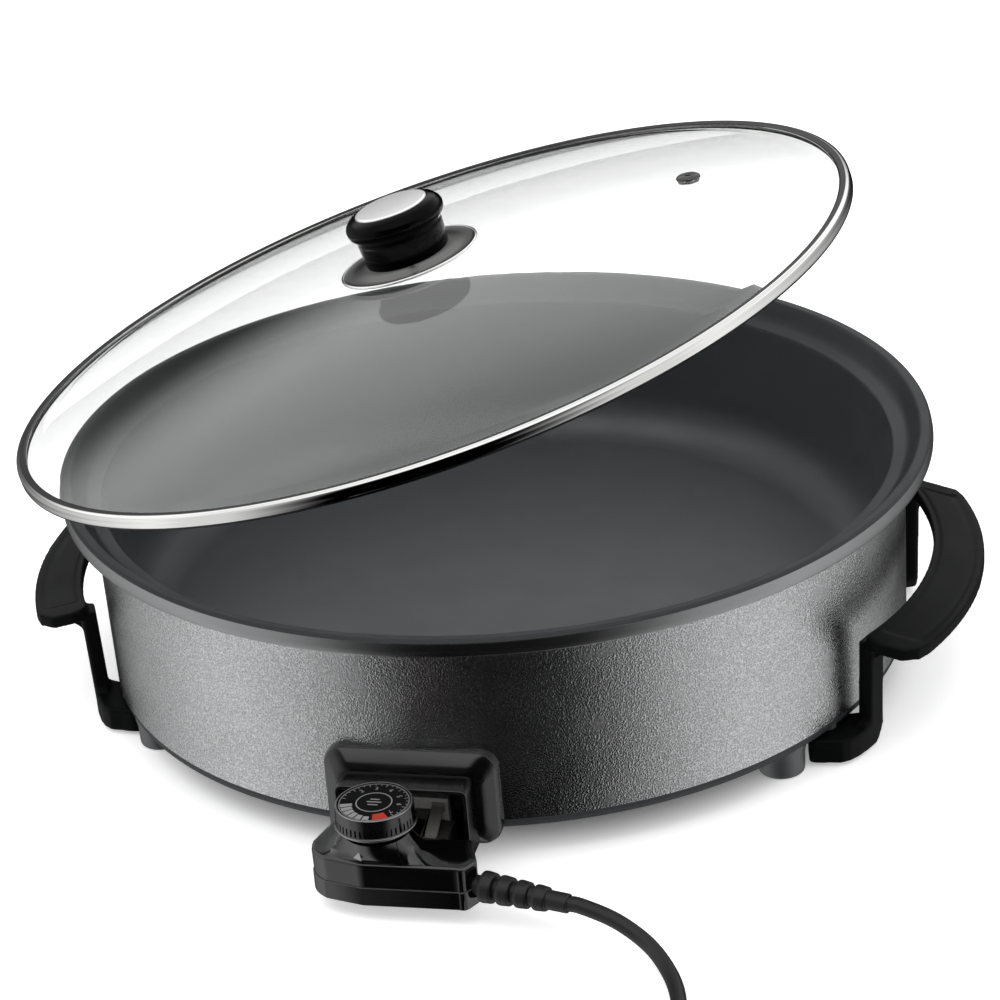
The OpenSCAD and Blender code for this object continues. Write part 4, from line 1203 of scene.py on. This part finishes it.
@dataclass
class ConnectorGuard:
    """The black moulding round the socket, with its wide bevel and its projecting collar."""

    width: float = 80.0
    height: float = 47.0
    base: float = 10.0
    corner: float = 9.0
    wall_y: float = 192.8
    side_y: float = 199.2
    front_y: float = 205.0
    collar_y: float = 218.0
    pocket: tuple[float, float] = (56.6, 34.0)
    pocket_back: float = 198.0
    collar_back: float = 193.2
    collar_wall: float = 2.0
    collar_corner: float = 3.4
    pocket_corner: float = 1.6
    screw_at: tuple[float, float] = (21.5, 39)
    screw_hole: float = 1.6
    pin_hole: float = 4.25
    probe_hole: float = 3.7
    hole_from: float = 180.0
    hole_depth: float = 40.0
    # The bevel: distances past the plate's side, each with how far the plate is drawn in there,
    # across and upwards.
    bevel: tuple[tuple[float, float, float], ...] = (
        (-1.2, 0.0, 0.0), (0.3, 0.4, 0.4), (1.3, 1.4, 1.6), (3.6, 4.2, 5.0), (4.9, 5.8, 7.0),
        (5.6, 7.4, 8.8))
    face_in: tuple[float, float] = (9.0, 10.6)

    def build(self) -> None:
        """Moulds the guard, cuts its pocket and holes, and rounds the collar's mouth."""
        plate = self._plate()
        size = [across + 2 * self.collar_wall for across in self.pocket]
        middle = (0.0, self.base + size[1] / 2)
        plate.fuse(Blank().slab(round_rectangle(*size, self.collar_corner, 5, middle),
                                self.collar_back, self.collar_y).moved(self._front()))
        plate.cut(Blank().slab(round_rectangle(*self.pocket, self.pocket_corner, 4, middle),
                               self.pocket_back, self.collar_y + 20).moved(self._front()))
        holes = Blank()
        screw_x, screw_z = self.screw_at
        for x, z, radius in ((-screw_x, screw_z, self.screw_hole),
                             (screw_x, screw_z, self.screw_hole),
                             (-PIN_X, SOCKET_Z, self.pin_hole), (PIN_X, SOCKET_Z, self.pin_hole),
                             (0, SOCKET_Z, self.probe_hole)):
            holes.join(Blank().rod(radius, 0, self.hole_depth, 32)
                       .moved(facing_front(x, self.hole_from, z)))
        plate.cut(holes)
        mouth = 0.6 - self.collar_y
        plate.soften(0.7, 45, 3, lambda at: at.y < mouth)
        plate.piece("guard_moulding", "pan", "guard_plastic", [GUARD_BLACK],
                    ["connector_guard"], crisp=32)

    def _front(self) -> Matrix:
        """Turns a slab drawn in (x, z) and raised by distance so that it stands out along -Y."""
        return Matrix(((1, 0, 0, 0), (0, 0, -1, 0), (0, 1, 0, 0), (0, 0, 0, 1)))

    def _plate(self) -> Blank:
        """Raises the plate from the wall, drawn in step by step to its crowned bevel.

        Returns:
            The plate, where it stands.
        """
        steps = [(self.wall_y, 0.0, 0.0)]
        steps += [(self.side_y + past, across, up) for past, across, up in self.bevel]
        steps += [(self.front_y, *self.face_in)]
        fresh = bmesh.new()
        faces = [fresh.faces.new([fresh.verts.new((x, z, 0)) for x, z in round_rectangle(
            self.width, self.height, self.corner, 9)])]
        last = (self.width, self.height)
        for index, (distance, across, up) in enumerate(steps):
            size = (self.width - 2 * across, self.height - 2 * up)
            if index:
                covered = faces
                grown = bmesh.ops.extrude_face_region(fresh, geom=covered)
                faces = [g for g in grown["geom"] if isinstance(g, bmesh.types.BMFace)]
                if index > 1:
                    bmesh.ops.delete(fresh, geom=covered, context="FACES_ONLY")
            ring = [v for face in faces for v in face.verts]
            bmesh.ops.scale(fresh, vec=(size[0] / last[0], size[1] / last[1], 1), verts=ring)
            for v in ring:
                v.co.z = distance
            last = size
        bmesh.ops.recalc_face_normals(fresh, faces=fresh.faces)
        middle = Matrix.Translation((0, 0, self.base + self.height / 2))
        return Blank().take(fresh).moved(middle @ self._front())


# ---------- handles ----------


@dataclass
class Handle:
    """One moulded handle: a falling crescent grip on two legs that turn in under the skirt."""

    name: str
    node: str
    side: int = 1
    voxel: float = 0.75
    ease: float = 0.5
    smoothing: int = 14
    leg_turn: float = 22.3
    leg_width: float = 13.0
    leg_reach: tuple[float, float] = (202.6, 208.8)
    arm_top: float = 13.9
    elbow_r: float = 8.0
    height: float = 61.0
    inner_x: float = 40.0
    inner_curve: float = 171.5
    outer_x: float = 46.0
    outer_curve: float = 190.0
    half_length: float = 81.0
    dish: float = 1.0
    dish_rim: float = 3.6
    fall: float = 5.0
    fall_run: float = 17.5

    def build(self) -> None:
        """Takes the moulding's solid, dishes its grip, fills its elbows and smooths the skin."""
        moulding = Blank().copy_of(self.node)
        moulding.cut(self._dish())
        for hand in (1, -1):
            moulding.fuse(self._gusset(hand))
        made = moulding.piece(self.name, "pan", "handle_plastic", [HANDLE_BLACK], [self.node],
                              crisp=60)
        made.modifiers.clear()
        skin = made.modifiers.new("skin", "REMESH")
        skin.mode = "VOXEL"
        skin.voxel_size = self.voxel * MM
        skin.use_smooth_shade = True
        ease = made.modifiers.new("ease", "SMOOTH")
        ease.factor, ease.iterations = self.ease, self.smoothing

    def _dish(self) -> Blank:
        """Makes the waste of the shallow dish in the grip's falling top.

        Returns:
            The solid that is cut away.
        """
        rim, drop, start = self.dish_rim, self.dish, self.inner_curve
        waste = Blank().turned([
            (start + 1, 0.1 - drop), (start + self.fall_run, -self.fall - drop),
            (start + 24, -self.fall - 0.5 - drop), (start + 24, 12), (start + 1, 12)],
            256, ring=True)
        waste.moved(Matrix.Translation((self.inner_x, 0, self.height)))
        inner, outer, reach = start + rim, self.outer_curve - rim, self.half_length - rim
        steps = [reach * i / 16 for i in range(-16, 17)]
        plan = [(self.outer_x + math.sqrt(outer ** 2 - y * y), y) for y in steps]
        plan += [(self.inner_x + math.sqrt(inner ** 2 - y * y), y) for y in reversed(steps)]
        waste.meet(Blank().slab(plan, self.height - 20, self.height + 10))
        return waste.moved(Matrix.Diagonal((self.side, 1, 1, 1)))

    def _leg_place(self, hand: int) -> Matrix:
        """Gives a leg's place: x runs round the pan towards the foot, z outwards and y up."""
        out = Matrix(((0, 0, 1, 0), (1, 0, 0, 0), (0, 1, 0, 0), (0, 0, 0, 1)))
        return Matrix.Diagonal((self.side, hand, 1, 1)) @ turned_by(self.leg_turn) @ out

    def _gusset(self, hand: int) -> Blank:
        """Makes the web that fills the inside of a leg's elbow.

        Args:
            hand: 1 for the leg at the back, -1 for the one in front.

        Returns:
            The web.
        """
        r, edge, arm = self.elbow_r, self.leg_width / 2 - 0.8, self.arm_top - 1
        turn = [math.radians(270 - 90 * i / 6) for i in range(7)]
        arc = [(edge + r + r * math.cos(a), arm + r + r * math.sin(a)) for a in turn]
        plan = [(edge - 3, arm - 2), (edge + r, arm - 2), *arc, (edge - 3, arm + r)]
        return Blank().slab(plan, *self.leg_reach).moved(self._leg_place(hand))


# ---------- lid ----------


@dataclass
class Lid:
    """The domed glass lid with its steel band, vent, base disc and capped knob."""

    shift: float = 28.3
    lift: float = 188.2
    tilt: float = 15.2
    band_r: float = 211.8
    band_depth: float = 7.0
    dome_r: float = 206.3
    dome_edge: float = 205.9
    glass_r: float = 209.8
    glass_play: float = 0.25
    sphere: float = 877.453
    rise: float = 24.5
    flange: float = 1.0
    thickness: float = 4.0
    screw_hole: float = 4.0
    vent_hole: float = 3.6
    vent_r: float = 138.8
    vent_turn: float = 21.6
    disc_z: float = 24.9
    disc_r: float = 34.5
    disc_edge: float = 1.3
    knob_z: float = 26.15
    knob_r: float = 24.5
    place: Matrix = field(init=False)

    def __post_init__(self) -> None:
        """Works out where the held-open lid is."""
        self.place = (Matrix.Translation((-self.shift, 0, self.lift))
                      @ turned_by(-self.tilt, "Y"))

    def build(self) -> None:
        """Makes the lid's pieces and dresses its seals and screw."""
        self._glass()
        self._band()
        self._vent()
        self._disc()
        self._knob()
        dress_nodes(SILICONE, "knob_seals")
        dress_nodes(SCREW_ZINC, "knob_screw")

    def dome_z(self, radius: float, depth: float = 0.0) -> float:
        """Gives the glass's height at a radius, a given depth below its outer face."""
        ball = self.sphere - depth
        return math.sqrt(ball * ball - radius * radius) - self.sphere + self.rise - self.flange

    def _glass(self) -> None:
        """Turns the dome with its flat edge in the band, and drills the vent's hole."""
        spans, edge, top = 24, 0.4, -self.flange
        radii = [self.dome_edge * i / spans for i in range(spans + 1)]
        radii = [self.screw_hole] + [r for r in radii if r > self.screw_hole + 2]
        outline = [(r, self.dome_z(r)) for r in radii]
        outline += [(self.glass_r - edge, top), (self.glass_r, top - edge),
                    (self.glass_r, top - self.thickness + edge),
                    (self.glass_r - edge, top - self.thickness)]
        outline += [(r, self.dome_z(r, self.thickness)) for r in reversed(radii)]
        glass = Blank().turned(outline, 192, ring=True)
        glass.cut(Blank().rod(self.vent_hole, -20, 20, 32).moved(self._vent_place()))
        glass.piece("lid_dome", "lid", "lid_glass", [CLEAR_GLASS], ["lid_glass"], self.place)

    def _band(self) -> None:
        """Rolls the polished band with its raised bead round the glass."""
        r, d, g, deep = self.band_r, self.dome_r, self.glass_play, self.band_depth
        low = -self.flange - self.thickness - g
        outline = eased([
            (d, -0.35, 0.2), (d + 0.7, 0.0, 0.3), (r - 1.4, 0.0, 0.7), (r - 0.2, -0.8, 0.7),
            (r, -2.2, 0.5), (r - 0.15, -3.3, 0.3), (r, -4.3, 0.4), (r, 1.3 - deep, 0.7),
            (r - 0.9, -deep, 0.7), (d + 0.7, -deep, 0.3), (d, 0.3 - deep, 0.2), (d, low),
            (self.glass_r + g, low), (self.glass_r + g, -self.flange + g),
            (d, -self.flange + g)], 3)

        def finish_of(at: Vector, _: Vector) -> int:
            """Picks the dark finish, painted shade under the band and along its inner lip, or the
            bright one.
            """
            lip = at.z > -0.6 and math.hypot(at.x, at.y) < d + 2.2
            return int(lip or at.z < 1.4 - deep)

        Blank().turned(outline, 256, ring=True).piece(
            "lid_band", "lid", "polished_band", [POLISHED_STEEL, BAND_PAINTED_SHADE], ["lid_rim_band"],
            self.place, rule=finish_of, crisp=50)

    def _vent_place(self) -> Matrix:
        """Gives the vent's place on the dome."""
        return (turned_by(self.vent_turn)
                @ Matrix.Translation((self.vent_r, 0, self.dome_z(self.vent_r)))
                @ Matrix.Rotation(math.asin(self.vent_r / self.sphere), 4, "Y"))

    def _vent(self) -> None:
        """Turns the steam eyelet and its flared lip."""
        t = self.thickness
        eyelet = Blank().turned(eased([
            (1.9, 1.0, 0.3), (2.9, 1.9, 0.5), (4.6, 1.7, 0.6), (5.8, 0.8, 0.4), (6.0, 0.05),
            (3.5, 0.05), (3.5, -t - 0.05), (5.4, -t - 0.05, 0.2), (5.2, -t - 0.8, 0.3),
            (2.0, -t - 0.8, 0.3)]), 64, ring=True)
        # The eyelet is in the darkened steel: painted shade.
        eyelet.piece("vent_eyelet", "lid", "polished_disc", [STEEL_PAINTED_SHADE], ["steam_vent"],
                     self.place @ self._vent_place())

    def _disc(self) -> None:
        """Turns the dished base disc, its dish in darkened steel that is painted shade, with its
        bright rolled edge.
        """
        r = self.disc_r
        outline = eased([
            (2.6, 0), (r - 9, 0, 0.8), (r - 5, -0.6, 0.8), (r - 0.8, -0.7, 0.3), (r, -0.3, 0.3),
            (r - 0.05, 0.5, 0.3), (r - 0.9, 0.75, 0.4), (r - 2.4, 0.35, 0.6), (r - 6, 0.35, 1.5),
            (r - 12, 1.2, 2), (2.6, 1.2)])
        Blank().turned(outline, 128, ring=True).piece(
            "base_disc", "lid", "polished_disc", [STEEL_PAINTED_SHADE, POLISHED_STEEL],
            ["knob_base_disc"], self.place @ Matrix.Translation((0, 0, self.disc_z)),
            rule=lambda at, _: int(math.hypot(at.x, at.y) > r - self.disc_edge), crisp=50)

    def _knob(self) -> None:
        """Turns the black knob with its wide crown, and the silver cap.

        Both stay out of reflections, so that the dome under them is clear.
        """
        r = self.knob_r
        place = self.place @ Matrix.Translation((0, 0, self.knob_z))
        grip = Blank().turned(eased([
            (0, 0), (19.6, 0, 0.6), (20.7, 0.9, 0.7), (21.0, 5, 2), (21.4, 12.6, 1.2),
            (21.2, 14.4, 0.6), (22.2, 15.4, 0.8), (r - 0.5, 17.2, 1.2), (r, 19.4, 1.2),
            (r - 0.4, 21.8, 1.3), (r - 2.6, 24.4, 1.0), (r - 5, 25.4, 0.8),
            (18.2, 25.7, 0.2), (18.0, 25.0, 0.2), (0, 25.0)]), 160).piece(
            "knob_grip", "lid", "gloss_black", [KNOB_BLACK], ["lid_knob"], place, crisp=50)
        cap = Blank().turned(eased([
            (0, 25.05), (17.9, 25.05), (17.9, 25.9, 0.3), (17.3, 26.3, 0.4),
            (16.2, 26.35, 0.6), (9, 26.5, 3), (0, 26.55)]), 128).piece(
            "cap_disc", "lid", "mirror_cap", [MIRROR], ["knob_cap"], place, crisp=50)
        grip.visible_glossy = cap.visible_glossy = False


# ---------- controller ----------


@dataclass
class Dial:
    """The heat dial: a grip with finger slots, a dark disc and its printed scale."""

    x: float = -5.7
    y: float = -238.5
    base: float = 40.0
    height: float = 13.6
    ring_r: float = 18.5
    face_r: float = 17.2
    slots: int = 48
    slot_half: float = 0.45
    slot_ends: tuple[float, float] = (4.95, 8.4)
    face_drop: float = 0.5
    print_height: float = 0.06
    print_rings: tuple[tuple[float, float], ...] = ((7.6, 8.1), (15.3, 15.6))
    scale_r: float = 15.0
    # The heat bars, longest first. Angles here and below are in degrees.
    bars: int = 6
    bar_start: float = 192.0
    bar_step: float = 14.2
    bar_span: float = 11.4
    bar_depth: float = 5.4
    bar_loss: float = 0.5
    red_ring: tuple[float, float] = (10.2, 15.4)
    red_span: tuple[float, float] = (281.0, 308.0)
    ticks: int = 22
    tick_start: float = 318.0
    tick_step: float = 10.2
    tick_half: float = 0.6
    tick_depths: tuple[float, float] = (1.6, 0.8)
    numerals: tuple[str, ...] = ("7", "6", "5", "4", "3", "2")
    numeral_r: float = 11.5
    numeral_start: float = 322.0
    numeral_step: float = 34.0
    numeral_size: float = 3.4

    @property
    def place(self) -> Matrix:
        """The dial's place, from the underside of its ring."""
        return Matrix.Translation((self.x, self.y, self.base))

    def build(self) -> None:
        """Makes the grip, the disc and the print."""
        self._grip()
        self._disc()
        self._print()

    def _grip(self) -> None:
        """Turns the dial's body and mills its finger slots."""
        ro, rt, h = self.ring_r, self.face_r, self.height
        body = Blank().turned(eased([
            (3.05, 0.6), (6, 0.6), (6, h - 4), (13.5, h - 4), (12.6, 0), (14.2, 0, 0.4),
            (17.2, 2.9, 0.8), (ro - 0.5, 3.3, 0.3), (ro, 3.8, 0.3), (ro, 4.5, 0.3),
            (ro - 0.7, 4.9, 0.2), (rt + 0.6, 5.4, 0.3), (rt + 0.15, h - 0.9, 0.5),
            (rt - 0.2, h - 0.1, 0.3), (rt - 0.9, h, 0.2), (rt - 1.0, h - 1), (3.05, h - 1)]),
            144, ring=True)
        low, high = self.slot_ends
        slots = Blank()
        for index in range(self.slots):
            slots.join(Blank().block((ro - 1.7, -self.slot_half, low),
                                     (ro + 2, self.slot_half, high))
                       .moved(Matrix.Rotation(math.tau * index / self.slots, 4, "Z")))
        body.cut(slots)
        body.piece("dial_grip", "dial", "dial_black", [DIAL_BLACK, SPUN_STEEL], ["dial_knob"],
                   self.place, rule=self._finish_of)

    def _finish_of(self, at: Vector, _: Vector) -> int:
        """Picks a face's finish.

        Args:
            at: The face's middle.

        Returns:
            1, bright metal, on the thin top edge and the ring's lip, and 0, black, elsewhere.
        """
        radius = math.hypot(at.x, at.y)
        top_edge = at.z > self.height - 0.45 and radius > self.face_r - 0.95
        lip = 3.6 < at.z < 4.7 and radius > self.ring_r - 0.2
        return int(top_edge or lip)

    def _disc(self) -> None:
        """Turns the dark disc that carries the print."""
        r, low, high = self.face_r - 1.15, self.height - 0.95, self.height - self.face_drop
        Blank().turned(eased([(0, low), (r, low), (r, high, 0.1), (0, high)]), 96).piece(
            "dial_disc", "dial", "dial_plate", [DIAL_PLATE], ["dial_face"], self.place)

    def _print(self) -> None:
        """Prints the heat scale: growing bars, a marked sector, rings, ticks and numbers."""
        place = self.place @ Matrix.Translation((0, 0, self.height - self.face_drop))
        outer, thin = self.scale_r, self.print_height
        silver, red = Blank(), Blank()
        for near, far in self.print_rings:
            silver.join(Blank().turned([(near, 0), (far, 0), (far, thin), (near, thin)], 96,
                                       ring=True))
        for index in range(self.bars):
            start = self.bar_start + index * self.bar_step
            inner = outer - (self.bar_depth - self.bar_loss * index)
            silver.join(self._sector(inner, outer, start, start + self.bar_span))
        red.join(self._sector(*self.red_ring, *self.red_span))
        long_tick, short_tick = self.tick_depths
        for index in range(self.ticks):
            at = self.tick_start + index * self.tick_step
            inner = outer - (short_tick if index % 3 else long_tick)
            silver.join(self._sector(inner, outer, at - self.tick_half, at + self.tick_half))
        for index, text in enumerate(self.numerals):
            silver.join(self._numeral(text, self.numeral_start + index * self.numeral_step))
        for row in (-2.1, 0.2, 2.4):
            silver.join(Blank().block((-3.4 + abs(row) * 0.5, row - 0.35, 0),
                                      (3.4 - abs(row) * 0.6, row + 0.35, thin)))
        silver.piece("dial_scale", "dial", "dial_plate", [SILVER_PRINT], place=place)
        red.piece("dial_red_mark", "dial", "dial_plate", [RED_PRINT], place=place)

    def _sector(self, inner: float, outer: float, start: float, end: float) -> Blank:
        """Cuts a thin sector of a ring.

        Args:
            inner: The ring's inner radius.
            outer: Its outer radius.
            start: Angle that the sector starts at.
            end: Angle that it ends at.

        Returns:
            The sector.
        """
        turns = [math.radians(start + (end - start) * i / 4) for i in range(5)]
        rim = [(outer * math.cos(t), outer * math.sin(t)) for t in turns]
        back = [(inner * math.cos(t), inner * math.sin(t)) for t in reversed(turns)]
        return Blank().slab(rim + back, 0, self.print_height)

    def _numeral(self, text: str, turn: float) -> Blank:
        """Cuts a numeral that reads from the dial's rim.

        Args:
            text: The number.
            turn: Its angle round the dial.

        Returns:
            The numeral as a thin solid.
        """
        letters = bpy.data.curves.new("numeral", "FONT")
        letters.body, letters.size = text, self.numeral_size
        letters.align_x, letters.align_y = "CENTER", "CENTER"
        letters.extrude, letters.resolution_u = self.print_height / 2, 2
        thing = link(bpy.data.objects.new("numeral", letters))
        graph = bpy.context.evaluated_depsgraph_get()
        mesh = bpy.data.meshes.new_from_object(thing.evaluated_get(graph))
        made = Blank()
        made.bm.from_mesh(mesh)
        bpy.data.objects.remove(thing)
        bpy.data.curves.remove(letters)
        bpy.data.meshes.remove(mesh)
        a = math.radians(turn)
        spot = (self.numeral_r * math.cos(a), self.numeral_r * math.sin(a), self.print_height / 2)
        return made.moved(Matrix.Translation(spot) @ turned_by(turn - 90))


@dataclass
class StrainRelief:
    """The ribbed sleeve that guides the lead out of the controller."""

    at: tuple[float, float, float] = (37.5, -243.0, 16.5)
    turn: float = -14.0
    length: float = 46.0
    bore: float = 3.65
    neck: float = 4.4
    ribs: int = 4
    rib_start: float = 4.2
    rib_step: float = 8.5
    rib_r: float = 7.2
    rib_loss: float = 0.45

    @property
    def place(self) -> Matrix:
        """The relief's place, drawn along +Z from the end wall."""
        return Matrix.Translation(self.at) @ turned_by(self.turn) @ turned_by(90, "Y")

    def build(self) -> None:
        """Turns the relief, with ribs that get smaller along the lead."""
        bore, neck = self.bore, self.neck
        outline: list[tuple[float, ...]] = [
            (bore, -8), (5.8, -8, 0.3), (5.8, -5.2, 0.3), (4.6, -5.2), (4.6, 0.5), (4.5, 2.2)]
        for index in range(self.ribs):
            start, r = self.rib_start + index * self.rib_step, self.rib_r - self.rib_loss * index
            outline += [(neck, start), (r - 0.2, start + 0.2, 0.5), (r, start + 1.4, 0.6),
                        (r - 0.4, start + 6.0, 0.8), (neck, start + 6.3)]
        outline += [(neck - 0.05, self.length - 0.4, 0.3), (bore, self.length)]
        Blank().turned(eased(outline, 3), 72, ring=True).piece(
            "ribbed_relief", "controller", "gloss_black", [CORD_RUBBER], ["strain_relief"],
            self.place, crisp=50)


@dataclass
class Controller:
    """The plug-in heat controller: two shells round its works, the dial and the relief."""

    dial: Dial = field(default_factory=Dial)
    relief: StrainRelief = field(default_factory=StrainRelief)
    base: float = 8.0
    seam: float = 17.0
    top: float = 29.0
    back: float = 225.5
    depth: float = 26.3
    wall: float = 2.0
    end_x: float = -11.5
    end_r: float = 26.0
    end_back: float = 10.0
    rim_inset: float = 1.9
    tower_top: float = 39.5
    tower_r: float = 14.8
    sweep_steps: int = 16
    sweep_bias: float = 1.6
    sweep_reach: float = 3.6
    # The left shoulder leans back and up to the socket, over these spans of y and of -x.
    shoulder: float = 2.0
    neck: float = 5.8
    shoulder_along: tuple[float, float] = (-240.0, -226.0)
    shoulder_across: tuple[float, float] = (-12.0, 18.0)
    shoulder_rise: float = 10.0
    nose: tuple[tuple[float, float, float], tuple[float, float, float]] = (
        (-27.4, -229, 23.8), (9.2, -200.5, 28.4))
    nose_way: tuple[tuple[float, float, float], tuple[float, float, float]] = (
        (-20.1, -229, 12.4), (20.1, -190, 23.6))
    well_r: float = 3.2
    well_top: float = 11.5
    wells: tuple[tuple[float, float], ...] = ((-28.5, -235.5), (25, -235.5))
    shaft_hole: float = 3.1
    relief_hole: float = 4.7
    pointer_turn: float = -28.0
    pointer_at: tuple[float, float] = (13.6, 31.0)

    def build(self) -> None:
        """Makes the shells, the dial and the strain relief, and dresses the inner works."""
        self._lower_shell()
        self._upper_shell()
        self._pointer()
        self.dial.build()
        self.relief.build()
        dress_nodes(DARK_CERAMIC, "contact_block")
        dress_nodes(BRASS, "contact_sockets", "contact_blades")
        dress_nodes(PLATED, "probe_tube", "dial_shaft")
        dress_nodes(SPRING, "thermostat_frame", "bimetal_strip")
        dress_nodes(SCREW_ZINC, "controller_screws")

    def plan(self, inset: float = 0.0) -> list[tuple[float, float]]:
        """Draws the body's plan: a round left front, a straight front and a blunt right end.

        Args:
            inset: How far the plan is drawn in all round.

        Returns:
            The plan's points.
        """
        i, front, back = inset, self.back + self.depth - inset, self.back + inset
        half, deep = self.end_r - i, self.depth - self.end_back - i
        round_end = [(self.end_x + half * math.cos(math.radians(a)),
                      -(self.back + self.end_back) + deep * math.sin(math.radians(a)))
                     for a in (*range(180, 229, 6), 270)]
        return round_end + eased([
            (33.5 - 0.5 * i, -front, 1.6), (35.9 - 0.8 * i, -front + 1.2, 1.4),
            (40 - 1.2 * i, -(self.back + 17.5), 2), (36.6 - i, -back - 8, 2),
            (34.5 - i, -back, 1.5), (-31.5 + i, -back, 1.5), (-33.5 + i, -back - 1, 1)])

    def _hollow_out(self, shell: Blank, low: float, high: float) -> None:
        """Cuts a shell's inner space and the ways of the contact block and the relief.

        Args:
            shell: The shell.
            low: Where its inner space starts.
            high: Where it ends.
        """
        shell.cut(Blank().slab(self.plan(self.wall), low, high))
        shell.cut(Blank().block(*self.nose_way))
        shell.cut(Blank().rod(self.relief_hole, -7, 20, 40).moved(self.relief.place))

    def _lower_shell(self) -> None:
        """Moulds the tray, with its screw wells, and leaves a fine step at the parting line, whose
        upward faces carry a painted highlight.
        """
        shell = Blank().slab(self.plan(), self.base, self.seam)
        shell.soften(1.6, 60, 3, lambda at: at.z < self.base + 0.1)
        shell.soften(0.35, 60, 2, lambda at: at.z > self.seam - 0.1)
        self._hollow_out(shell, self.base + self.wall, self.seam + 2)
        wells = Blank()
        for x, y in self.wells:
            wells.join(Blank().rod(self.well_r, self.base - 3, self.well_top, 32)
                       .moved(Matrix.Translation((x, y, 0))))
        shell.cut(wells)
        # The step's upward faces get the lighter grey: a painted highlight.
        shell.piece("lower_shell", "controller", "gloss_black", [GLOSS_BLACK, PAINTED_HIGHLIGHT_GREY],
                    ["controller_lower_shell"],
                    rule=lambda at, way: int(at.z > self.seam - 0.5 and way.z > 0.2))

    def _upper_shell(self) -> None:
        """Moulds the cover: a rounded rim that sweeps up in a hollow curve to the dial's tower."""
        spacing = Spacing(2.0)
        rim = ((0.5, self.seam + 0.05), (0.3, self.top - 1.7), (0.5, self.top - 0.8),
               (1.1, self.top - 0.2), (self.rim_inset, self.top))
        loops = [[self._skin(*p, z) for p in spacing.of(self.plan(inset))] for inset, z in rim]
        for index in range(1, self.sweep_steps + 1):
            loops.append(self._sweep(spacing, (1 - index / self.sweep_steps) ** self.sweep_bias))
        shell = Blank().lofted(loops)
        shell.fuse(Blank().block(*self.nose).soften(0.9, 60, 3))
        self._hollow_out(shell, self.seam - 2, self.top - self.wall)
        shell.cut(Blank().rod(self.shaft_hole, 20, 50, 48)
                  .moved(Matrix.Translation((self.dial.x, self.dial.y, 0))))
        shell.piece("upper_shell", "controller", "gloss_black", [GLOSS_BLACK],
                    ["controller_upper_shell"], crisp=45)

    def _skin(self, x: float, y: float, z: float) -> Vector:
        """Draws a point of the cover back and up where its left shoulder meets the socket.

        Args:
            x: The point's place across.
            y: Its place along.
            z: Its height.

        Returns:
            The point of the cover.
        """
        share = smooth_share(y, *self.shoulder_along) * smooth_share(-x, *self.shoulder_across)
        lift = self.shoulder * share * share_of(z, self.seam, self.seam + self.shoulder_rise)
        return Vector((x, y + self.neck * share, z + lift))

    def _sweep(self, spacing: Spacing, u: float) -> list[Vector]:
        """Draws one loop of the hollow curve between the cover's rim and the tower.

        Args:
            spacing: The spacing that the cover's loops share.
            u: Share of the way from the tower to the rim.

        Returns:
            The loop.
        """
        made = []
        reach, rise = self.sweep_reach, self.tower_top - self.top
        for x, y, edge_z in (self._skin(*p, self.top)
                             for p in spacing.of(self.plan(self.rim_inset))):
            way = Vector((x - self.dial.x, y - self.dial.y))
            far = way.length
            here = self.tower_r + (far - self.tower_r) * u
            edge = math.exp(-abs(far - self.tower_r) / reach)
            share = (math.exp(-abs(here - self.tower_r) / reach) - edge) / (1 - edge)
            at = way.normalized() * here
            low = edge_z * (1 - share) + self.top * share
            made.append(Vector((self.dial.x + at.x, self.dial.y + at.y, low + rise * share)))
        return made

    def _pointer(self) -> None:
        """Raises the small light triangle on the tower that the dial is read against."""
        distance, height = self.pointer_at
        place = (Matrix.Translation((self.dial.x, self.dial.y, 0))
                 @ turned_by(self.pointer_turn) @ facing_front(0, distance, height))
        Blank().slab([(-2.4, 0), (2.4, 0), (1.5, 4.0)], 0, 0.25).piece(
            "dial_pointer", "controller", "dial_plate", [SILVER_PRINT], place=place)


def main() -> None:
    """Builds every sub-assembly in order."""
    logging.basicConfig(level=logging.INFO, format="%(message)s")
    Studio().build()
    MainsLead().build()
    Pan().build()
    ConnectorGuard().build()
    Handle("handle_right_grip", "handle_right").build()
    Handle("handle_left_grip", "handle_left", -1).build()
    Lid().build()
    Controller().build()


if __name__ == "__main__":
    main()
